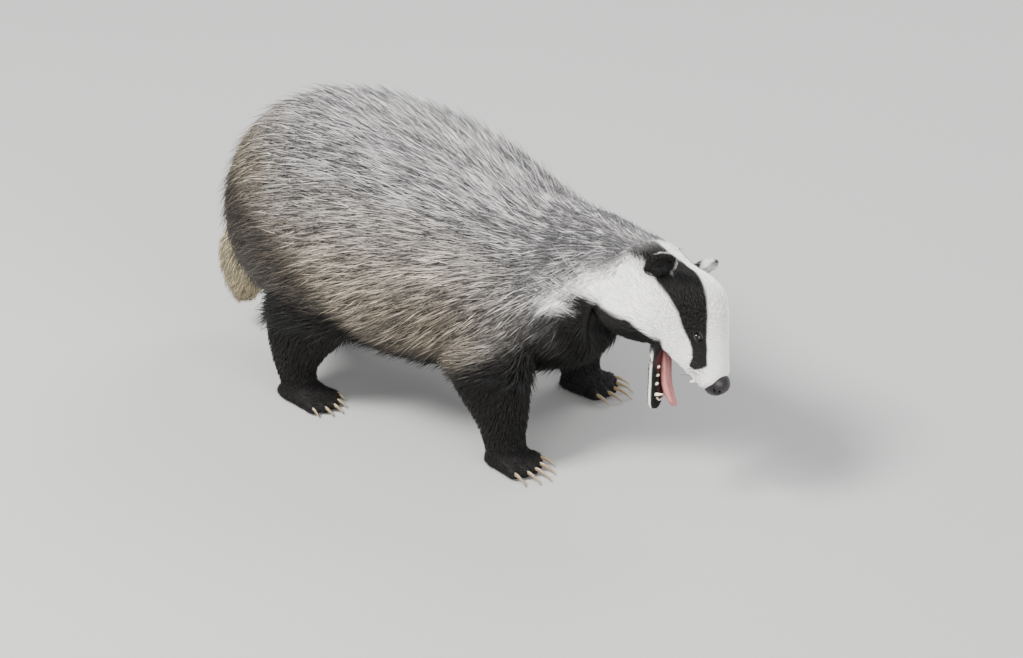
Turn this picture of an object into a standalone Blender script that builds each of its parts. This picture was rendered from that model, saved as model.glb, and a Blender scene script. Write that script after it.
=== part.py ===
"""European badger, life size, standing still with its head lowered and its mouth open.

Metres, +Z up. The animal faces +X, and its left side is towards +Y.
The origin is on the floor, under the middle of the whole animal.
"""
import math
import random

import bmesh
import bpy
import numpy as np
from mathutils import Matrix, Vector
from mathutils.bvhtree import BVHTree

# Faces that touch keep this gap
GAP = 0.0003

# The coat: depth from its tips to the skin, and how far the locks' core lies under the tips
BODY_COAT = 0.022
BODY_CORE = 0.5 * BODY_COAT
NECK_CORE = 0.008
TAIL_CORE = 0.012

# Locks of the coat: length, width, thickness, space between rows, space between neighbours
BODY_LOCK = (0.100, 0.078, 0.0085, 0.061, 0.067)
NECK_LOCK = (0.052, 0.050, 0.0060, 0.031, 0.046)
TAIL_LOCK = (0.056, 0.040, 0.0055, 0.034, 0.037)
# Along a lock: place, share of its width, share of its root's depth, share of its thickness
LOCK_SHAPE = (
    (0.00, 0.75, 1.00, 1.00),
    (0.36, 1.00, 0.50, 0.85),
    (0.74, 0.66, 0.22, 0.50),
)
LOCK_ROOT = 0.006
LOCK_TIP = 0.0006
# How far locks hang down from straight back, on the body and at the rump
DROOP_BODY = 0.30
DROOP_RUMP = 1.60
SLAB = 0.6
UNDER_TAIL = (-0.180, 0.055, 0.180)
TORSO_SEED = 17
NECK_SEED = 24
TAIL_SEED = 13

# The head's own frame: forward from ears to nose, left, and out of the forehead
HEAD_PLACE = Vector((0.266, -0.014, 0.232))
HEAD_FORWARD = Vector((0.698, -0.305, -0.648)).normalized()
HEAD_UP = Vector((0.713, 0.380, 0.589))
HEAD_UP = (HEAD_UP - HEAD_FORWARD * HEAD_UP.dot(HEAD_FORWARD)).normalized()
HEAD_LEFT = HEAD_UP.cross(HEAD_FORWARD)

# Sections of trunk and neck out to the coat's tips: centre x, y, z, turn towards the head's frame
# from 0 to 1, half width, height above the centre, depth below it
TRUNK = (
    (-0.275, 0.000, 0.205, 0.0, 0.020, 0.020, 0.020),
    (-0.265, 0.000, 0.203, 0.0, 0.065, 0.065, 0.065),
    (-0.235, 0.000, 0.200, 0.0, 0.106, 0.104, 0.104),
    (-0.180, 0.000, 0.198, 0.0, 0.133, 0.128, 0.128),
    (-0.100, 0.0, 0.196, 0.0, 0.146, 0.133, 0.136),
    (-0.020, 0.0, 0.190, 0.0, 0.142, 0.127, 0.133),
    (0.050, 0.0, 0.187, 0.0, 0.123, 0.107, 0.125),
    (0.100, -0.002, 0.188, 0.0, 0.107, 0.090, 0.114),
    (0.135, -0.003, 0.191, 0.0, 0.095, 0.086, 0.108),
)
NECK = (
    (0.170, -0.004, 0.200, 0.08, 0.083, 0.079, 0.104),
    (0.204, -0.006, 0.216, 0.26, 0.072, 0.055, 0.100),
    (0.226, -0.007, 0.234, 0.55, 0.065, 0.038, 0.095),
)
NECK_BACK = -0.030

# Head sections: place along the head, half width, top, bottom
HEAD = (
    (NECK_BACK, 0.058, 0.0285, 0.084),
    (0.000, 0.060, 0.0365, 0.082),
    (0.020, 0.058, 0.0460, 0.074),
    (0.040, 0.053, 0.0520, 0.058),
    (0.057, 0.044, 0.0485, 0.044),
    (0.072, 0.0360, 0.0415, 0.0365),
    (0.086, 0.0305, 0.0340, 0.031),
    (0.100, 0.0268, 0.0265, 0.0255),
    (0.114, 0.0225, 0.0195, 0.0200),
    (0.124, 0.0185, 0.0130, 0.0155),
    (0.129, 0.0120, 0.0080, 0.0110),
)
# How much narrower the head is at its top than an oval
HEAD_EGG = 0.25

NOSE_PLACE = (0.1245, 0.0, -0.0005)
NOSE_SIZE = (0.0130, 0.0165, 0.0145)
EYE_PLACE = (0.0760, 0.0248, 0.0122)
EYE_RADIUS = 0.0055
EYE_LOOK = Vector((0.35, 0.85, 0.38)).normalized()
EAR_PLACE = (-0.004, 0.0600, 0.0235)
EAR_SIZE = (0.0065, 0.0165, 0.0175)
EAR_TIP = Vector((-0.15, 0.60, 0.78)).normalized()
EAR_OPENING = Vector((0.80, 0.58, 0.10))

# The lower jaw hangs from the cheeks at this angle under the head's forward line
GAPE = math.radians(38.0)
JAW_PLACE = Vector((0.045, 0.0, -0.022))
JAW_FORWARD = Vector((math.cos(GAPE), 0.0, -math.sin(GAPE)))
JAW_UP = Vector((math.sin(GAPE), 0.0, math.cos(GAPE)))
# Place along the jaw, half width, above and below the jaw's line
JAW = (
    (0.000, 0.024, 0.0065, 0.0110),
    (0.020, 0.0255, 0.0062, 0.0110),
    (0.040, 0.0235, 0.0058, 0.0100),
    (0.058, 0.0185, 0.0052, 0.0088),
    (0.072, 0.0145, 0.0045, 0.0080),
    (0.082, 0.0105, 0.0038, 0.0065),
    (0.087, 0.0060, 0.0020, 0.0030),
)
# The tongue on the jaw: along, to the left, above, half width, half thickness
TONGUE = (
    (0.014, 0.000, 0.0030, 0.0090, 0.0025),
    (0.035, 0.000, 0.0065, 0.0105, 0.0030),
    (0.055, 0.001, 0.0105, 0.0100, 0.0028),
    (0.068, 0.002, 0.0160, 0.0090, 0.0024),
    (0.077, 0.003, 0.0205, 0.0070, 0.0018),
    (0.081, 0.004, 0.0215, 0.0030, 0.0010),
)

# Tail sections out to the coat's tips: centre x, y, z, half width
TAIL = (
    (-0.232, 0.000, 0.176, 0.016),
    (-0.254, 0.000, 0.158, 0.020),
    (-0.272, -0.002, 0.136, 0.026),
    (-0.284, -0.004, 0.112, 0.033),
    (-0.290, -0.005, 0.087, 0.034),
    (-0.293, -0.005, 0.062, 0.025),
    (-0.294, -0.005, 0.040, 0.006),
)

# Legs from the body down to the ankle: centre x, y, z, half length, half width
FORELEG_RIGHT = (
    (0.088, -0.066, 0.160, 0.036, 0.030),
    (0.086, -0.084, 0.125, 0.052, 0.034),
    (0.097, -0.094, 0.090, 0.046, 0.033),
    (0.111, -0.098, 0.058, 0.031, 0.028),
    (0.116, -0.099, 0.034, 0.025, 0.024),
    (0.120, -0.100, 0.014, 0.024, 0.022),
)
FORELEG_LEFT = (
    (0.078, 0.058, 0.160, 0.036, 0.030),
    (0.074, 0.070, 0.125, 0.052, 0.034),
    (0.085, 0.078, 0.090, 0.046, 0.033),
    (0.097, 0.082, 0.058, 0.031, 0.028),
    (0.101, 0.083, 0.034, 0.025, 0.024),
    (0.105, 0.084, 0.014, 0.024, 0.022),
)
HINDLEG_RIGHT = (
    (-0.130, -0.068, 0.160, 0.050, 0.030),
    (-0.134, -0.088, 0.125, 0.058, 0.036),
    (-0.142, -0.098, 0.092, 0.050, 0.034),
    (-0.152, -0.101, 0.062, 0.034, 0.028),
    (-0.156, -0.102, 0.036, 0.024, 0.022),
    (-0.150, -0.103, 0.014, 0.022, 0.020),
)
HINDLEG_LEFT = (
    (-0.152, 0.068, 0.160, 0.050, 0.030),
    (-0.156, 0.084, 0.125, 0.058, 0.036),
    (-0.166, 0.093, 0.092, 0.050, 0.034),
    (-0.178, 0.096, 0.062, 0.034, 0.028),
    (-0.184, 0.097, 0.036, 0.024, 0.022),
    (-0.178, 0.098, 0.014, 0.022, 0.020),
)
# Feet: half width, length, height, length of the middle claw
FOREFOOT = (0.025, 0.066, 0.026, 0.027)
HINDFOOT = (0.023, 0.080, 0.024, 0.017)
TOES = 5
# The pad alone stands on the floor, and the toes clear it by this much
TOE_CLEAR = 0.0006

COLOURS = {
    "grey": (0.30, 0.28, 0.25),
    "pale": (0.55, 0.50, 0.42),
    "black": (0.03, 0.027, 0.025),
    "white": (0.75, 0.73, 0.68),
    "pink": (0.62, 0.30, 0.28),
}


def clear_scene():
    for thing in list(bpy.data.objects):
        bpy.data.objects.remove(thing, do_unlink=True)


def finish_for(colour, roughness):
    material = bpy.data.materials.get(colour) or bpy.data.materials.new(colour)
    material.use_nodes = True
    shader = material.node_tree.nodes["Principled BSDF"]
    shader.inputs["Base Color"].default_value = (*COLOURS[colour], 1.0)
    shader.inputs["Roughness"].default_value = roughness
    shader.inputs["Metallic"].default_value = 0.0
    return material


def on_head(x, y, z):
    """A point of the head's frame in the body's frame."""
    return HEAD_PLACE + HEAD_FORWARD * x + HEAD_LEFT * y + HEAD_UP * z


def turn_head(direction):
    return HEAD_FORWARD * direction[0] + HEAD_LEFT * direction[1] + HEAD_UP * direction[2]


def on_jaw(along, left, above):
    point = JAW_PLACE + JAW_FORWARD * along + JAW_UP * above
    return on_head(point.x, left, point.z)


def row_at(rows, place):
    """The row at a place counted in rows, on a smooth curve through all rows."""
    last = len(rows) - 1
    index = min(int(place), last - 1)
    part = place - index
    before, here, there, after = (
        np.array(rows[min(max(index + step, 0), last)], float) for step in (-1, 0, 1, 2))
    return 0.5 * (2 * here + (there - before) * part
                  + (2 * before - 5 * here + 4 * there - after) * part ** 2
                  + (3 * here - before - 3 * there + after) * part ** 3)


def spread(rows, count, start=0.0, stop=None):
    """Count rows evenly spaced on the smooth curve through the given rows."""
    stop = len(rows) - 1 if stop is None else stop
    return [row_at(rows, start + (stop - start) * step / (count - 1)) for step in range(count)]


def make_object(name, builder):
    mesh = bpy.data.meshes.new(name)
    bmesh.ops.recalc_face_normals(builder, faces=builder.faces)
    builder.to_mesh(mesh)
    builder.free()
    thing = bpy.data.objects.new(name, mesh)
    bpy.context.scene.collection.objects.link(thing)
    return thing


def loft(name, rings):
    """A closed solid through rings of points, each end closed by a fan."""
    builder = bmesh.new()
    loops = [[builder.verts.new(point) for point in ring] for ring in rings]
    count = len(loops[0])
    for low, high in zip(loops, loops[1:]):
        for index in range(count):
            nxt = (index + 1) % count
            builder.faces.new((low[index], low[nxt], high[nxt], high[index]))
    for loop in (loops[0], loops[-1]):
        middle = builder.verts.new(sum((vert.co for vert in loop), Vector()) / count)
        for index in range(count):
            builder.faces.new((loop[index], loop[(index + 1) % count], middle))
    bmesh.ops.triangulate(builder, faces=builder.faces)
    return make_object(name, builder)


def ball(name, centre, axes, radii, around=12, rows=8):
    """A closed ellipsoid whose own axes are the three given directions."""
    builder = bmesh.new()
    bmesh.ops.create_uvsphere(builder, u_segments=around, v_segments=rows, radius=1.0)
    for vert in builder.verts:
        local = vert.co.copy()
        vert.co = Vector(centre) + sum((axes[k] * local[k] * radii[k] for k in range(3)), Vector())
    bmesh.ops.triangulate(builder, faces=builder.faces)
    return make_object(name, builder)


def oval(centre, side, up, width, top, bottom, points, egg=0.0):
    ring = []
    for step in range(points):
        angle = 2 * math.pi * step / points
        rise = math.sin(angle)
        across = width * math.cos(angle) * (1 - egg * max(rise, 0.0) * 0.5)
        ring.append(centre + side * across + up * rise * (top if rise > 0 else bottom))
    return ring


def combine(target, pieces, operation="UNION", solver="MANIFOLD"):
    """One Boolean of the target with all the pieces, applied, with the pieces removed."""
    group = bpy.data.collections.new("pieces")
    for piece in pieces:
        group.objects.link(piece)
    modifier = target.modifiers.new("combine", "BOOLEAN")
    modifier.operation = operation
    modifier.operand_type = "COLLECTION"
    modifier.collection = group
    modifier.solver = solver
    graph = bpy.context.evaluated_depsgraph_get()
    mesh = bpy.data.meshes.new_from_object(target.evaluated_get(graph))
    target.modifiers.clear()
    target.data = mesh
    for piece in pieces:
        bpy.data.objects.remove(piece, do_unlink=True)
    bpy.data.collections.remove(group)
    return target


def keep_largest(target):
    """Leave only the largest closed surface, which drops scraps and fills sealed hollows."""
    builder = bmesh.new()
    builder.from_mesh(target.data)
    bmesh.ops.triangulate(builder, faces=builder.faces)
    builder.faces.ensure_lookup_table()
    unseen = set(builder.faces)
    shells = []
    while unseen:
        front = [unseen.pop()]
        shell = list(front)
        while front:
            for edge in front.pop().edges:
                for face in edge.link_faces:
                    if face in unseen:
                        unseen.remove(face)
                        front.append(face)
                        shell.append(face)
        shells.append(shell)

    def volume(shell):
        return abs(sum(a.co.dot(b.co.cross(c.co)) for a, b, c in (face.verts for face in shell)))

    shells.sort(key=volume)
    for shell in shells[:-1]:
        bmesh.ops.delete(builder, geom=shell, context="FACES")
    loose = [vert for vert in builder.verts if not vert.link_faces]
    bmesh.ops.delete(builder, geom=loose, context="VERTS")
    builder.to_mesh(target.data)
    builder.free()
    return target


def dress(target, colour, roughness=0.8):
    target.data.materials.clear()
    target.data.materials.append(finish_for(colour, roughness))
    target.data.shade_smooth()
    target.data.set_sharp_from_angle(angle=math.radians(50.0))
    return target


# Trunk and neck

def spine_rows():
    head_middle = on_head(NECK_BACK, 0.0, 0.0)
    last = (*head_middle, 1.0, HEAD[0][1], HEAD[0][2], HEAD[0][3])
    return (*TRUNK, *NECK, last)


SPINE = spine_rows()
NECK_START = len(TRUNK) - 1
NECK_END = len(SPINE) - 1


def frame_of(turn):
    """Side and up of a section that has turned this far from the body's frame to the head's."""
    up = (Vector((0, 0, 1)) * (1 - turn) + HEAD_UP * turn).normalized()
    side = Vector((0, 1, 0)) * (1 - turn) + HEAD_LEFT * turn
    side = (side - up * side.dot(up)).normalized()
    return side, up


def spine_point(place, angle, inset=0.0):
    """A point of the coat's outer form, or of a form that lies deeper by the inset."""
    x, y, z, turn, width, top, bottom = row_at(SPINE, place)
    turn = min(max(turn, 0.0), 1.0)
    side, up = frame_of(turn)
    rise = math.sin(angle)
    egg = HEAD_EGG * turn
    across = max(width - inset, 0.004) * math.cos(angle) * (1 - egg * max(rise, 0.0) * 0.5)
    height = max((top if rise > 0 else bottom) - inset, 0.004)
    return Vector((x, y, z)) + side * across + up * rise * height


def core_inset(place):
    """How deep the core lies: as on the body, less on the neck, and none where neck meets head."""
    if place <= NECK_START:
        return BODY_CORE
    part = (place - NECK_START) / (NECK_END - NECK_START)
    middle = NECK_CORE - (NECK_CORE - BODY_CORE) * max(0.0, 1 - 3 * part)
    return middle * min(1.0, (1 - part) * 4)


def spine_solid(name, start, stop, count, points, inset_at):
    rings = []
    for step in range(count):
        place = start + (stop - start) * step / (count - 1)
        inset = inset_at(place)
        rings.append([spine_point(place, 2 * math.pi * k / points, inset) for k in range(points)])
    if start == 0.0:
        for point in rings[0]:
            point.x += inset_at(0.0)
    return loft(name, rings)


def search_tree(thing):
    """A tree that finds the nearest point of a solid's surface, with the solid removed."""
    mesh = thing.data
    tree = BVHTree.FromPolygons([vert.co.copy() for vert in mesh.vertices],
                                [tuple(face.vertices) for face in mesh.polygons])
    bpy.data.objects.remove(thing, do_unlink=True)
    return tree


def under(tree, point, depth):
    """The point at this depth under the surface, below the given one."""
    place, normal, _, _ = tree.find_nearest(point)
    return place - normal * depth


def lock(tree, root, lie, size, sink):
    """A flat, tapered lock from its sunk root along the lie of the coat, wrapped to its form."""
    length, width, thick = size
    builder = bmesh.new()
    loops = []
    point, gone = root, 0.0
    for part, wide, depth_share, fat in LOCK_SHAPE:
        place, normal, _, _ = tree.find_nearest(point)
        ahead = (lie - normal * lie.dot(normal)).normalized()
        point = place + ahead * length * (part - gone)
        gone = part
        place, normal, _, _ = tree.find_nearest(point)
        ahead = (lie - normal * lie.dot(normal)).normalized()
        side = normal.cross(ahead)
        depth = max(sink * depth_share, thick * fat / 2 + LOCK_TIP)
        ring = (
            under(tree, place + side * width * wide / 2, depth),
            under(tree, place, depth - thick * fat / 2),
            under(tree, place - side * width * wide / 2, depth),
            under(tree, place, depth + thick * fat / 2),
        )
        loops.append([builder.verts.new(corner) for corner in ring])
    tip = builder.verts.new(under(tree, place + ahead * length * (1 - gone), LOCK_TIP))
    for low, high in zip(loops, loops[1:]):
        for index in range(4):
            nxt = (index + 1) % 4
            builder.faces.new((low[index], low[nxt], high[nxt], high[index]))
    for index in range(4):
        builder.faces.new((loops[-1][index], loops[-1][(index + 1) % 4], tip))
    builder.faces.new(loops[0])
    bmesh.ops.triangulate(builder, faces=builder.faces)
    return make_object("lock", builder)


def body_lie(place, point):
    """Backwards along the body or neck, and downwards, most of all at the rump."""
    ahead = Vector(row_at(SPINE, min(place + 0.1, NECK_END))[:3])
    behind = Vector(row_at(SPINE, max(place - 0.1, 0.0))[:3])
    rump = min(max((-0.150 - point.x) / 0.09, 0.0), 1.0)
    droop = DROOP_BODY + (DROOP_RUMP - DROOP_BODY) * rump * rump
    return (behind - ahead).normalized() - Vector((0, 0, droop))


def coat(tree, point_at, lie_at, inset_at, start, stop, sizes, seed, bare=lambda root: False):
    """Rows of locks over a form, from its front to its back, each row between those of the last."""
    length, width, thick, row_space, space = sizes
    draw = random.Random(seed)
    locks = []
    place, row = start, 0
    while place > stop:
        speed = (point_at(place, math.pi / 2) - point_at(place - 0.02, math.pi / 2)).length / 0.02
        loop = [point_at(place, 2 * math.pi * k / 24) for k in range(25)]
        around = sum((a - b).length for a, b in zip(loop, loop[1:]))
        count = max(int(round(around / space)), 3)
        for index in range(count):
            angle = 2 * math.pi * (index + 0.5 * (row % 2) + draw.uniform(-0.15, 0.15)) / count
            root = point_at(place + draw.uniform(-0.12, 0.12) * row_space / speed, angle)
            if bare(root):
                continue
            lie = lie_at(place, root)
            scale = draw.uniform(0.86, 1.12)
            turned = Matrix.Rotation(draw.uniform(-0.14, 0.14), 3, "Z") @ lie
            size = (length * scale, width * draw.uniform(0.9, 1.1), thick * draw.uniform(0.85, 1.15))
            sink = inset_at(place) + LOCK_ROOT * draw.uniform(0.8, 1.2)
            locks.append(lock(tree, root, turned, size, sink))
        place -= row_space / speed
        row += 1
    return locks


def spine_tree():
    return search_tree(spine_solid("guide", 0.0, NECK_END, 90, 64, lambda place: 0.0))


def slab(point, out):
    """A large box that fills the space beyond a plane, to cut a form off there."""
    builder = bmesh.new()
    bmesh.ops.create_cube(builder, size=SLAB)
    bmesh.ops.transform(builder, verts=builder.verts, matrix=out.to_track_quat("X", "Z").to_matrix().to_4x4())
    bmesh.ops.translate(builder, verts=builder.verts, vec=point + out * SLAB / 2)
    return make_object("slab", builder)


def under_tail(root):
    """The short-haired place behind the belly that the tail hangs over."""
    return root.x < UNDER_TAIL[0] and abs(root.y) < UNDER_TAIL[1] and root.z < UNDER_TAIL[2]


def torso():
    body = spine_solid("torso", 0.0, NECK_START + 0.2, 15, 22, core_inset)
    locks = coat(spine_tree(), spine_point, body_lie, core_inset, NECK_START + 0.1, 0.25, BODY_LOCK,
                 TORSO_SEED, under_tail)
    combine(body, locks)
    cutters = [leg_form("cut", rows, GAP) for rows in LEGS.values()]
    cutters.append(tail_form("cut", GAP, 10, 10, tail_inset))
    cutters.append(slab(Vector((TRUNK[-1][0], 0.0, 0.2)), Vector((1, 0, 0))))
    combine(body, cutters, "DIFFERENCE")
    return dress(keep_largest(body), "grey")


def neck():
    body = spine_solid("neck", NECK_START - 0.2, NECK_END, 9, 22, core_inset)
    locks = coat(spine_tree(), spine_point, body_lie, core_inset, NECK_END - 0.3, NECK_START + 0.1,
                 NECK_LOCK, NECK_SEED)
    combine(body, locks)
    behind = slab(Vector((TRUNK[-1][0] + GAP, 0.0, 0.2)), Vector((-1, 0, 0)))
    ahead = slab(on_head(NECK_BACK - GAP, 0.0, 0.0), HEAD_FORWARD)
    combine(body, [behind, ahead], "DIFFERENCE")
    return dress(keep_largest(body), "white")


# Tail

def tail_point(place, angle, inset=0.0):
    """A point of the tail's outer form; the place is counted in rows back from its tip."""
    here = len(TAIL) - 1 - place
    row = row_at(TAIL, here)
    ahead = row_at(TAIL, min(here + 0.1, len(TAIL) - 1))
    behind = row_at(TAIL, max(here - 0.1, 0.0))
    along = Vector((ahead - behind)[:3]).normalized()
    side = Vector((0, 1, 0))
    up = along.cross(side).normalized()
    radius = max(row[3] - inset, 0.004)
    return Vector(row[:3]) + side * radius * math.cos(angle) + up * radius * math.sin(angle)


def tail_form(name, grow, points, count=11, inset_at=lambda place: 0.0):
    last = len(TAIL) - 1
    rings = []
    for step in range(count):
        place = last * (1 - step / (count - 1))
        rings.append([tail_point(place, 2 * math.pi * k / points, inset_at(place) - grow)
                      for k in range(points)])
    start = (Vector(TAIL[1][:3]) - Vector(TAIL[0][:3])).normalized()
    stop = (Vector(TAIL[-1][:3]) - Vector(TAIL[-2][:3])).normalized()
    for point in rings[0]:
        point -= start * grow
    for point in rings[-1]:
        point += stop * (grow - inset_at(0.0))
    return loft(name, rings)


def tail_inset(place):
    """No coat on the root inside the rump, and the full depth from the second bend on."""
    last = len(TAIL) - 1
    return TAIL_CORE * min(max((last - 1.0 - place) / 1.2, 0.0), 1.0)


def tail_lie(place, point):
    here = len(TAIL) - 1 - place
    return Vector((row_at(TAIL, min(here + 0.6, len(TAIL) - 1)) - row_at(TAIL, max(here - 0.2, 0.0)))[:3])


def tail():
    body = tail_form("tail", 0.0, 10, 10, tail_inset)
    tree = search_tree(tail_form("guide", 0.0, 32, 50))
    last = len(TAIL) - 1
    locks = coat(tree, tail_point, tail_lie, tail_inset, last - 1.7, 0.9, TAIL_LOCK, TAIL_SEED)
    combine(body, locks)
    return dress(keep_largest(body), "pale")


# Legs and feet

def leg_form(name, rows, grow, points=11):
    rings = []
    rows = spread(rows, 7)
    for index, (x, y, z, length, width) in enumerate(rows):
        lift = grow if index == 0 else 0.0
        rings.append(oval(Vector((x, y, z + lift)), Vector((0, 1, 0)), Vector((1, 0, 0)),
                          width + grow, length + grow, length + grow, points))
    return loft(name, rings)


def claw(root, heading, length, thick):
    """A curved claw of four sides that arches forward and comes down to the floor."""
    side = heading.cross(Vector((0, 0, 1)))
    rings = []
    for part, rise, size in ((0.0, 0.0, 1.0), (0.45, 0.10, 0.80), (0.80, -0.08, 0.45), (1.0, -0.30, 0.12)):
        centre = root + heading * length * part
        centre.z = max(root.z + rise * length, thick * size + 0.0004)
        rings.append(oval(centre, side, Vector((0, 0, 1)), thick * size * 0.7, thick * size, thick * size, 4))
    return loft("claw", rings)


def foot_pieces(ankle, size, heading):
    """Pad, toes and claws of one foot, flat on the floor."""
    half, length, height, claw_length = size
    side = Vector((-heading.y, heading.x, 0.0))
    heel = Vector((ankle[0], ankle[1], 0.0)) - heading * 0.36 * length
    rings = []
    for part, wide, tall in ((0.0, 0.45, 0.45), (0.14, 0.76, 0.88), (0.50, 0.96, 0.98),
                             (0.86, 0.90, 0.52)):
        ring = oval(heel + heading * length * part, side, Vector((0, 0, 1)), half * wide, 1.0, 1.0, 10)
        for point in ring:
            point.z = max(height * tall * (0.35 + 0.65 * point.z), 0.0)
        rings.append(ring)
    pieces = [loft("pad", rings)]
    for toe in range(TOES):
        out = (toe - (TOES - 1) / 2) / ((TOES - 1) / 2)
        turned = (heading + side * out * 0.22).normalized()
        reach = length * (0.86 - 0.16 * out * out)
        centre = heel + heading * reach + side * out * half * 0.84
        centre.z = height * 0.24
        toe_size = Vector((length * 0.15, half * 0.185, height * 0.34))
        axes = (turned, Vector((-turned.y, turned.x, 0)), Vector((0, 0, 1)))
        piece = ball("toe", centre, axes, toe_size, 6, 4)
        for vert in piece.data.vertices:
            vert.co.z = max(vert.co.z, TOE_CLEAR)
        pieces.append(piece)
        root = centre + turned * toe_size.x * 0.55 + Vector((0, 0, height * 0.06))
        pieces.append(claw(root, turned, claw_length * (1.0 - 0.18 * abs(out)), 0.0028))
    return pieces


LEGS = {
    "foreleg_right": FORELEG_RIGHT,
    "foreleg_left": FORELEG_LEFT,
    "hindleg_right": HINDLEG_RIGHT,
    "hindleg_left": HINDLEG_LEFT,
}


def leg(name, rows):
    size = FOREFOOT if name.startswith("fore") else HINDFOOT
    toe_out = -0.10 if name.endswith("right") else 0.10
    heading = Vector((1.0, toe_out, 0.0)).normalized()
    body = leg_form(name, rows, 0.0)
    combine(body, foot_pieces(rows[-1], size, heading))
    return dress(keep_largest(body), "black")


# Head

def head_form(name, rows, grow=0.0, points=24, count=18):
    rings = []
    for x, width, top, bottom in spread(rows, count):
        rings.append(oval(on_head(x, 0, 0), HEAD_LEFT, HEAD_UP, width + grow, top + grow,
                          bottom + grow, points, HEAD_EGG))
    return loft(name, rings)


def eye_form(name, side, grow, around=10, rows=7):
    centre = on_head(EYE_PLACE[0], side * EYE_PLACE[1], EYE_PLACE[2])
    axes = (HEAD_FORWARD, HEAD_LEFT, HEAD_UP)
    return ball(name, centre, axes, [EYE_RADIUS + grow] * 3, around, rows)


def lid_form(side):
    """A ring of skin round the eye, drawn into an almond."""
    look = turn_head((EYE_LOOK.x, side * EYE_LOOK.y, EYE_LOOK.z))
    along = (HEAD_FORWARD - look * HEAD_FORWARD.dot(look)).normalized()
    across = look.cross(along)
    centre = on_head(EYE_PLACE[0], side * EYE_PLACE[1], EYE_PLACE[2]) + look * 0.0036
    builder = bmesh.new()
    around, tube = 12, 5
    loops = []
    for step in range(around):
        angle = 2 * math.pi * step / around
        out = along * math.cos(angle) * 1.25 + across * math.sin(angle) * 0.86
        middle = centre + out * 0.0046
        loop = []
        for turn in range(tube):
            phase = 2 * math.pi * turn / tube
            loop.append(builder.verts.new(middle + (out.normalized() * math.cos(phase)
                                                    + look * math.sin(phase)) * 0.0015))
        loops.append(loop)
    for step in range(around):
        one, two = loops[step], loops[(step + 1) % around]
        for turn in range(tube):
            nxt = (turn + 1) % tube
            builder.faces.new((one[turn], one[nxt], two[nxt], two[turn]))
    bmesh.ops.triangulate(builder, faces=builder.faces)
    return make_object("lid", builder)


def ear_axes(side):
    tip = turn_head((EAR_TIP.x, side * EAR_TIP.y, EAR_TIP.z))
    opening = turn_head((EAR_OPENING.x, side * EAR_OPENING.y, EAR_OPENING.z))
    opening = (opening - tip * opening.dot(tip)).normalized()
    return opening, tip.cross(opening), tip


def ear_form(name, side, grow):
    axes = ear_axes(side)
    centre = on_head(EAR_PLACE[0], side * EAR_PLACE[1], EAR_PLACE[2])
    return ball(name, centre, axes, [size + grow for size in EAR_SIZE], 12, 7)


def ear(name, side):
    body = ear_form(name, side, 0.0)
    opening, _, tip = ear_axes(side)
    centre = on_head(EAR_PLACE[0], side * EAR_PLACE[1], EAR_PLACE[2])
    hollow = ball("hollow", centre + opening * 0.0052 + tip * 0.0032, ear_axes(side),
                  (0.0075, 0.0120, 0.0128), 10, 6)
    combine(body, [hollow], "DIFFERENCE")
    return dress(keep_largest(body), "black")


def nose_form(name, grow):
    body = ball(name, on_head(*NOSE_PLACE), (HEAD_FORWARD, HEAD_LEFT, HEAD_UP),
                [size + grow for size in NOSE_SIZE], 12, 7)
    return body


def nose():
    body = nose_form("nose", 0.0)
    nostrils = []
    for side in (-1, 1):
        centre = on_head(NOSE_PLACE[0] + 0.0066, side * 0.0047, NOSE_PLACE[2] + 0.0004)
        tilt = turn_head((0.1, side * 0.75, 0.55)).normalized()
        deep = turn_head((1.0, side * 0.25, 0.0))
        deep = (deep - tilt * deep.dot(tilt)).normalized()
        nostrils.append(ball("nostril", centre, (deep, tilt, deep.cross(tilt)),
                             (0.0042, 0.0028, 0.0018), 7, 5))
    combine(body, nostrils, "DIFFERENCE")
    return dress(keep_largest(body), "black", 0.35)


def tooth(root, direction, length, thick):
    """A pointed tooth of five sides, its root sunk in the gum."""
    side = direction.orthogonal().normalized()
    other = direction.cross(side)
    rings = []
    for part, size in ((-0.45, 1.0), (0.15, 0.95), (0.65, 0.55), (1.0, 0.12)):
        rings.append(oval(root + direction * length * part, side, other, thick * size,
                          thick * size, thick * size, 5))
    return loft("tooth", rings)


def jaw_form(name, grow):
    rings = []
    rows = spread(JAW, 10)
    for index, (along, width, above, below) in enumerate(rows):
        shift = -grow if index == 0 else grow if index == len(rows) - 1 else 0.0
        left = HEAD_LEFT
        up = turn_head(JAW_UP)
        rings.append(oval(on_jaw(along + shift, 0, 0), left, up, width + grow, above + grow,
                          below + grow, 16))
    return loft(name, rings)


def tongue_form(name, grow):
    rings = []
    rows = spread(TONGUE, 9)
    for index, (along, left, above, width, thick) in enumerate(rows):
        ahead, behind = rows[min(index + 1, len(rows) - 1)], rows[max(index - 1, 0)]
        step = on_jaw(*ahead[:3]) - on_jaw(*behind[:3])
        up = step.cross(HEAD_LEFT).normalized()
        shift = -grow if index == 0 else grow if index == len(rows) - 1 else 0.0
        rings.append(oval(on_jaw(along + shift, left, above), HEAD_LEFT, up, width + grow,
                          thick + grow, thick + grow, 10))
    return loft(name, rings)


def mouth_hollow():
    """The hollow under the palate, which leaves the upper lips as a rim."""
    rings = []
    for x, width, roof, floor in ((0.052, 0.014, -0.022, -0.060), (0.075, 0.0215, -0.0225, -0.060),
                                  (0.098, 0.0180, -0.0165, -0.045), (0.113, 0.0130, -0.0110, -0.035),
                                  (0.120, 0.0070, -0.0090, -0.030)):
        middle = (roof + floor) / 2
        rings.append(oval(on_head(x, 0, middle), HEAD_LEFT, HEAD_UP, width, roof - middle,
                          roof - middle, 12))
    return loft("mouth", rings)


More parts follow.
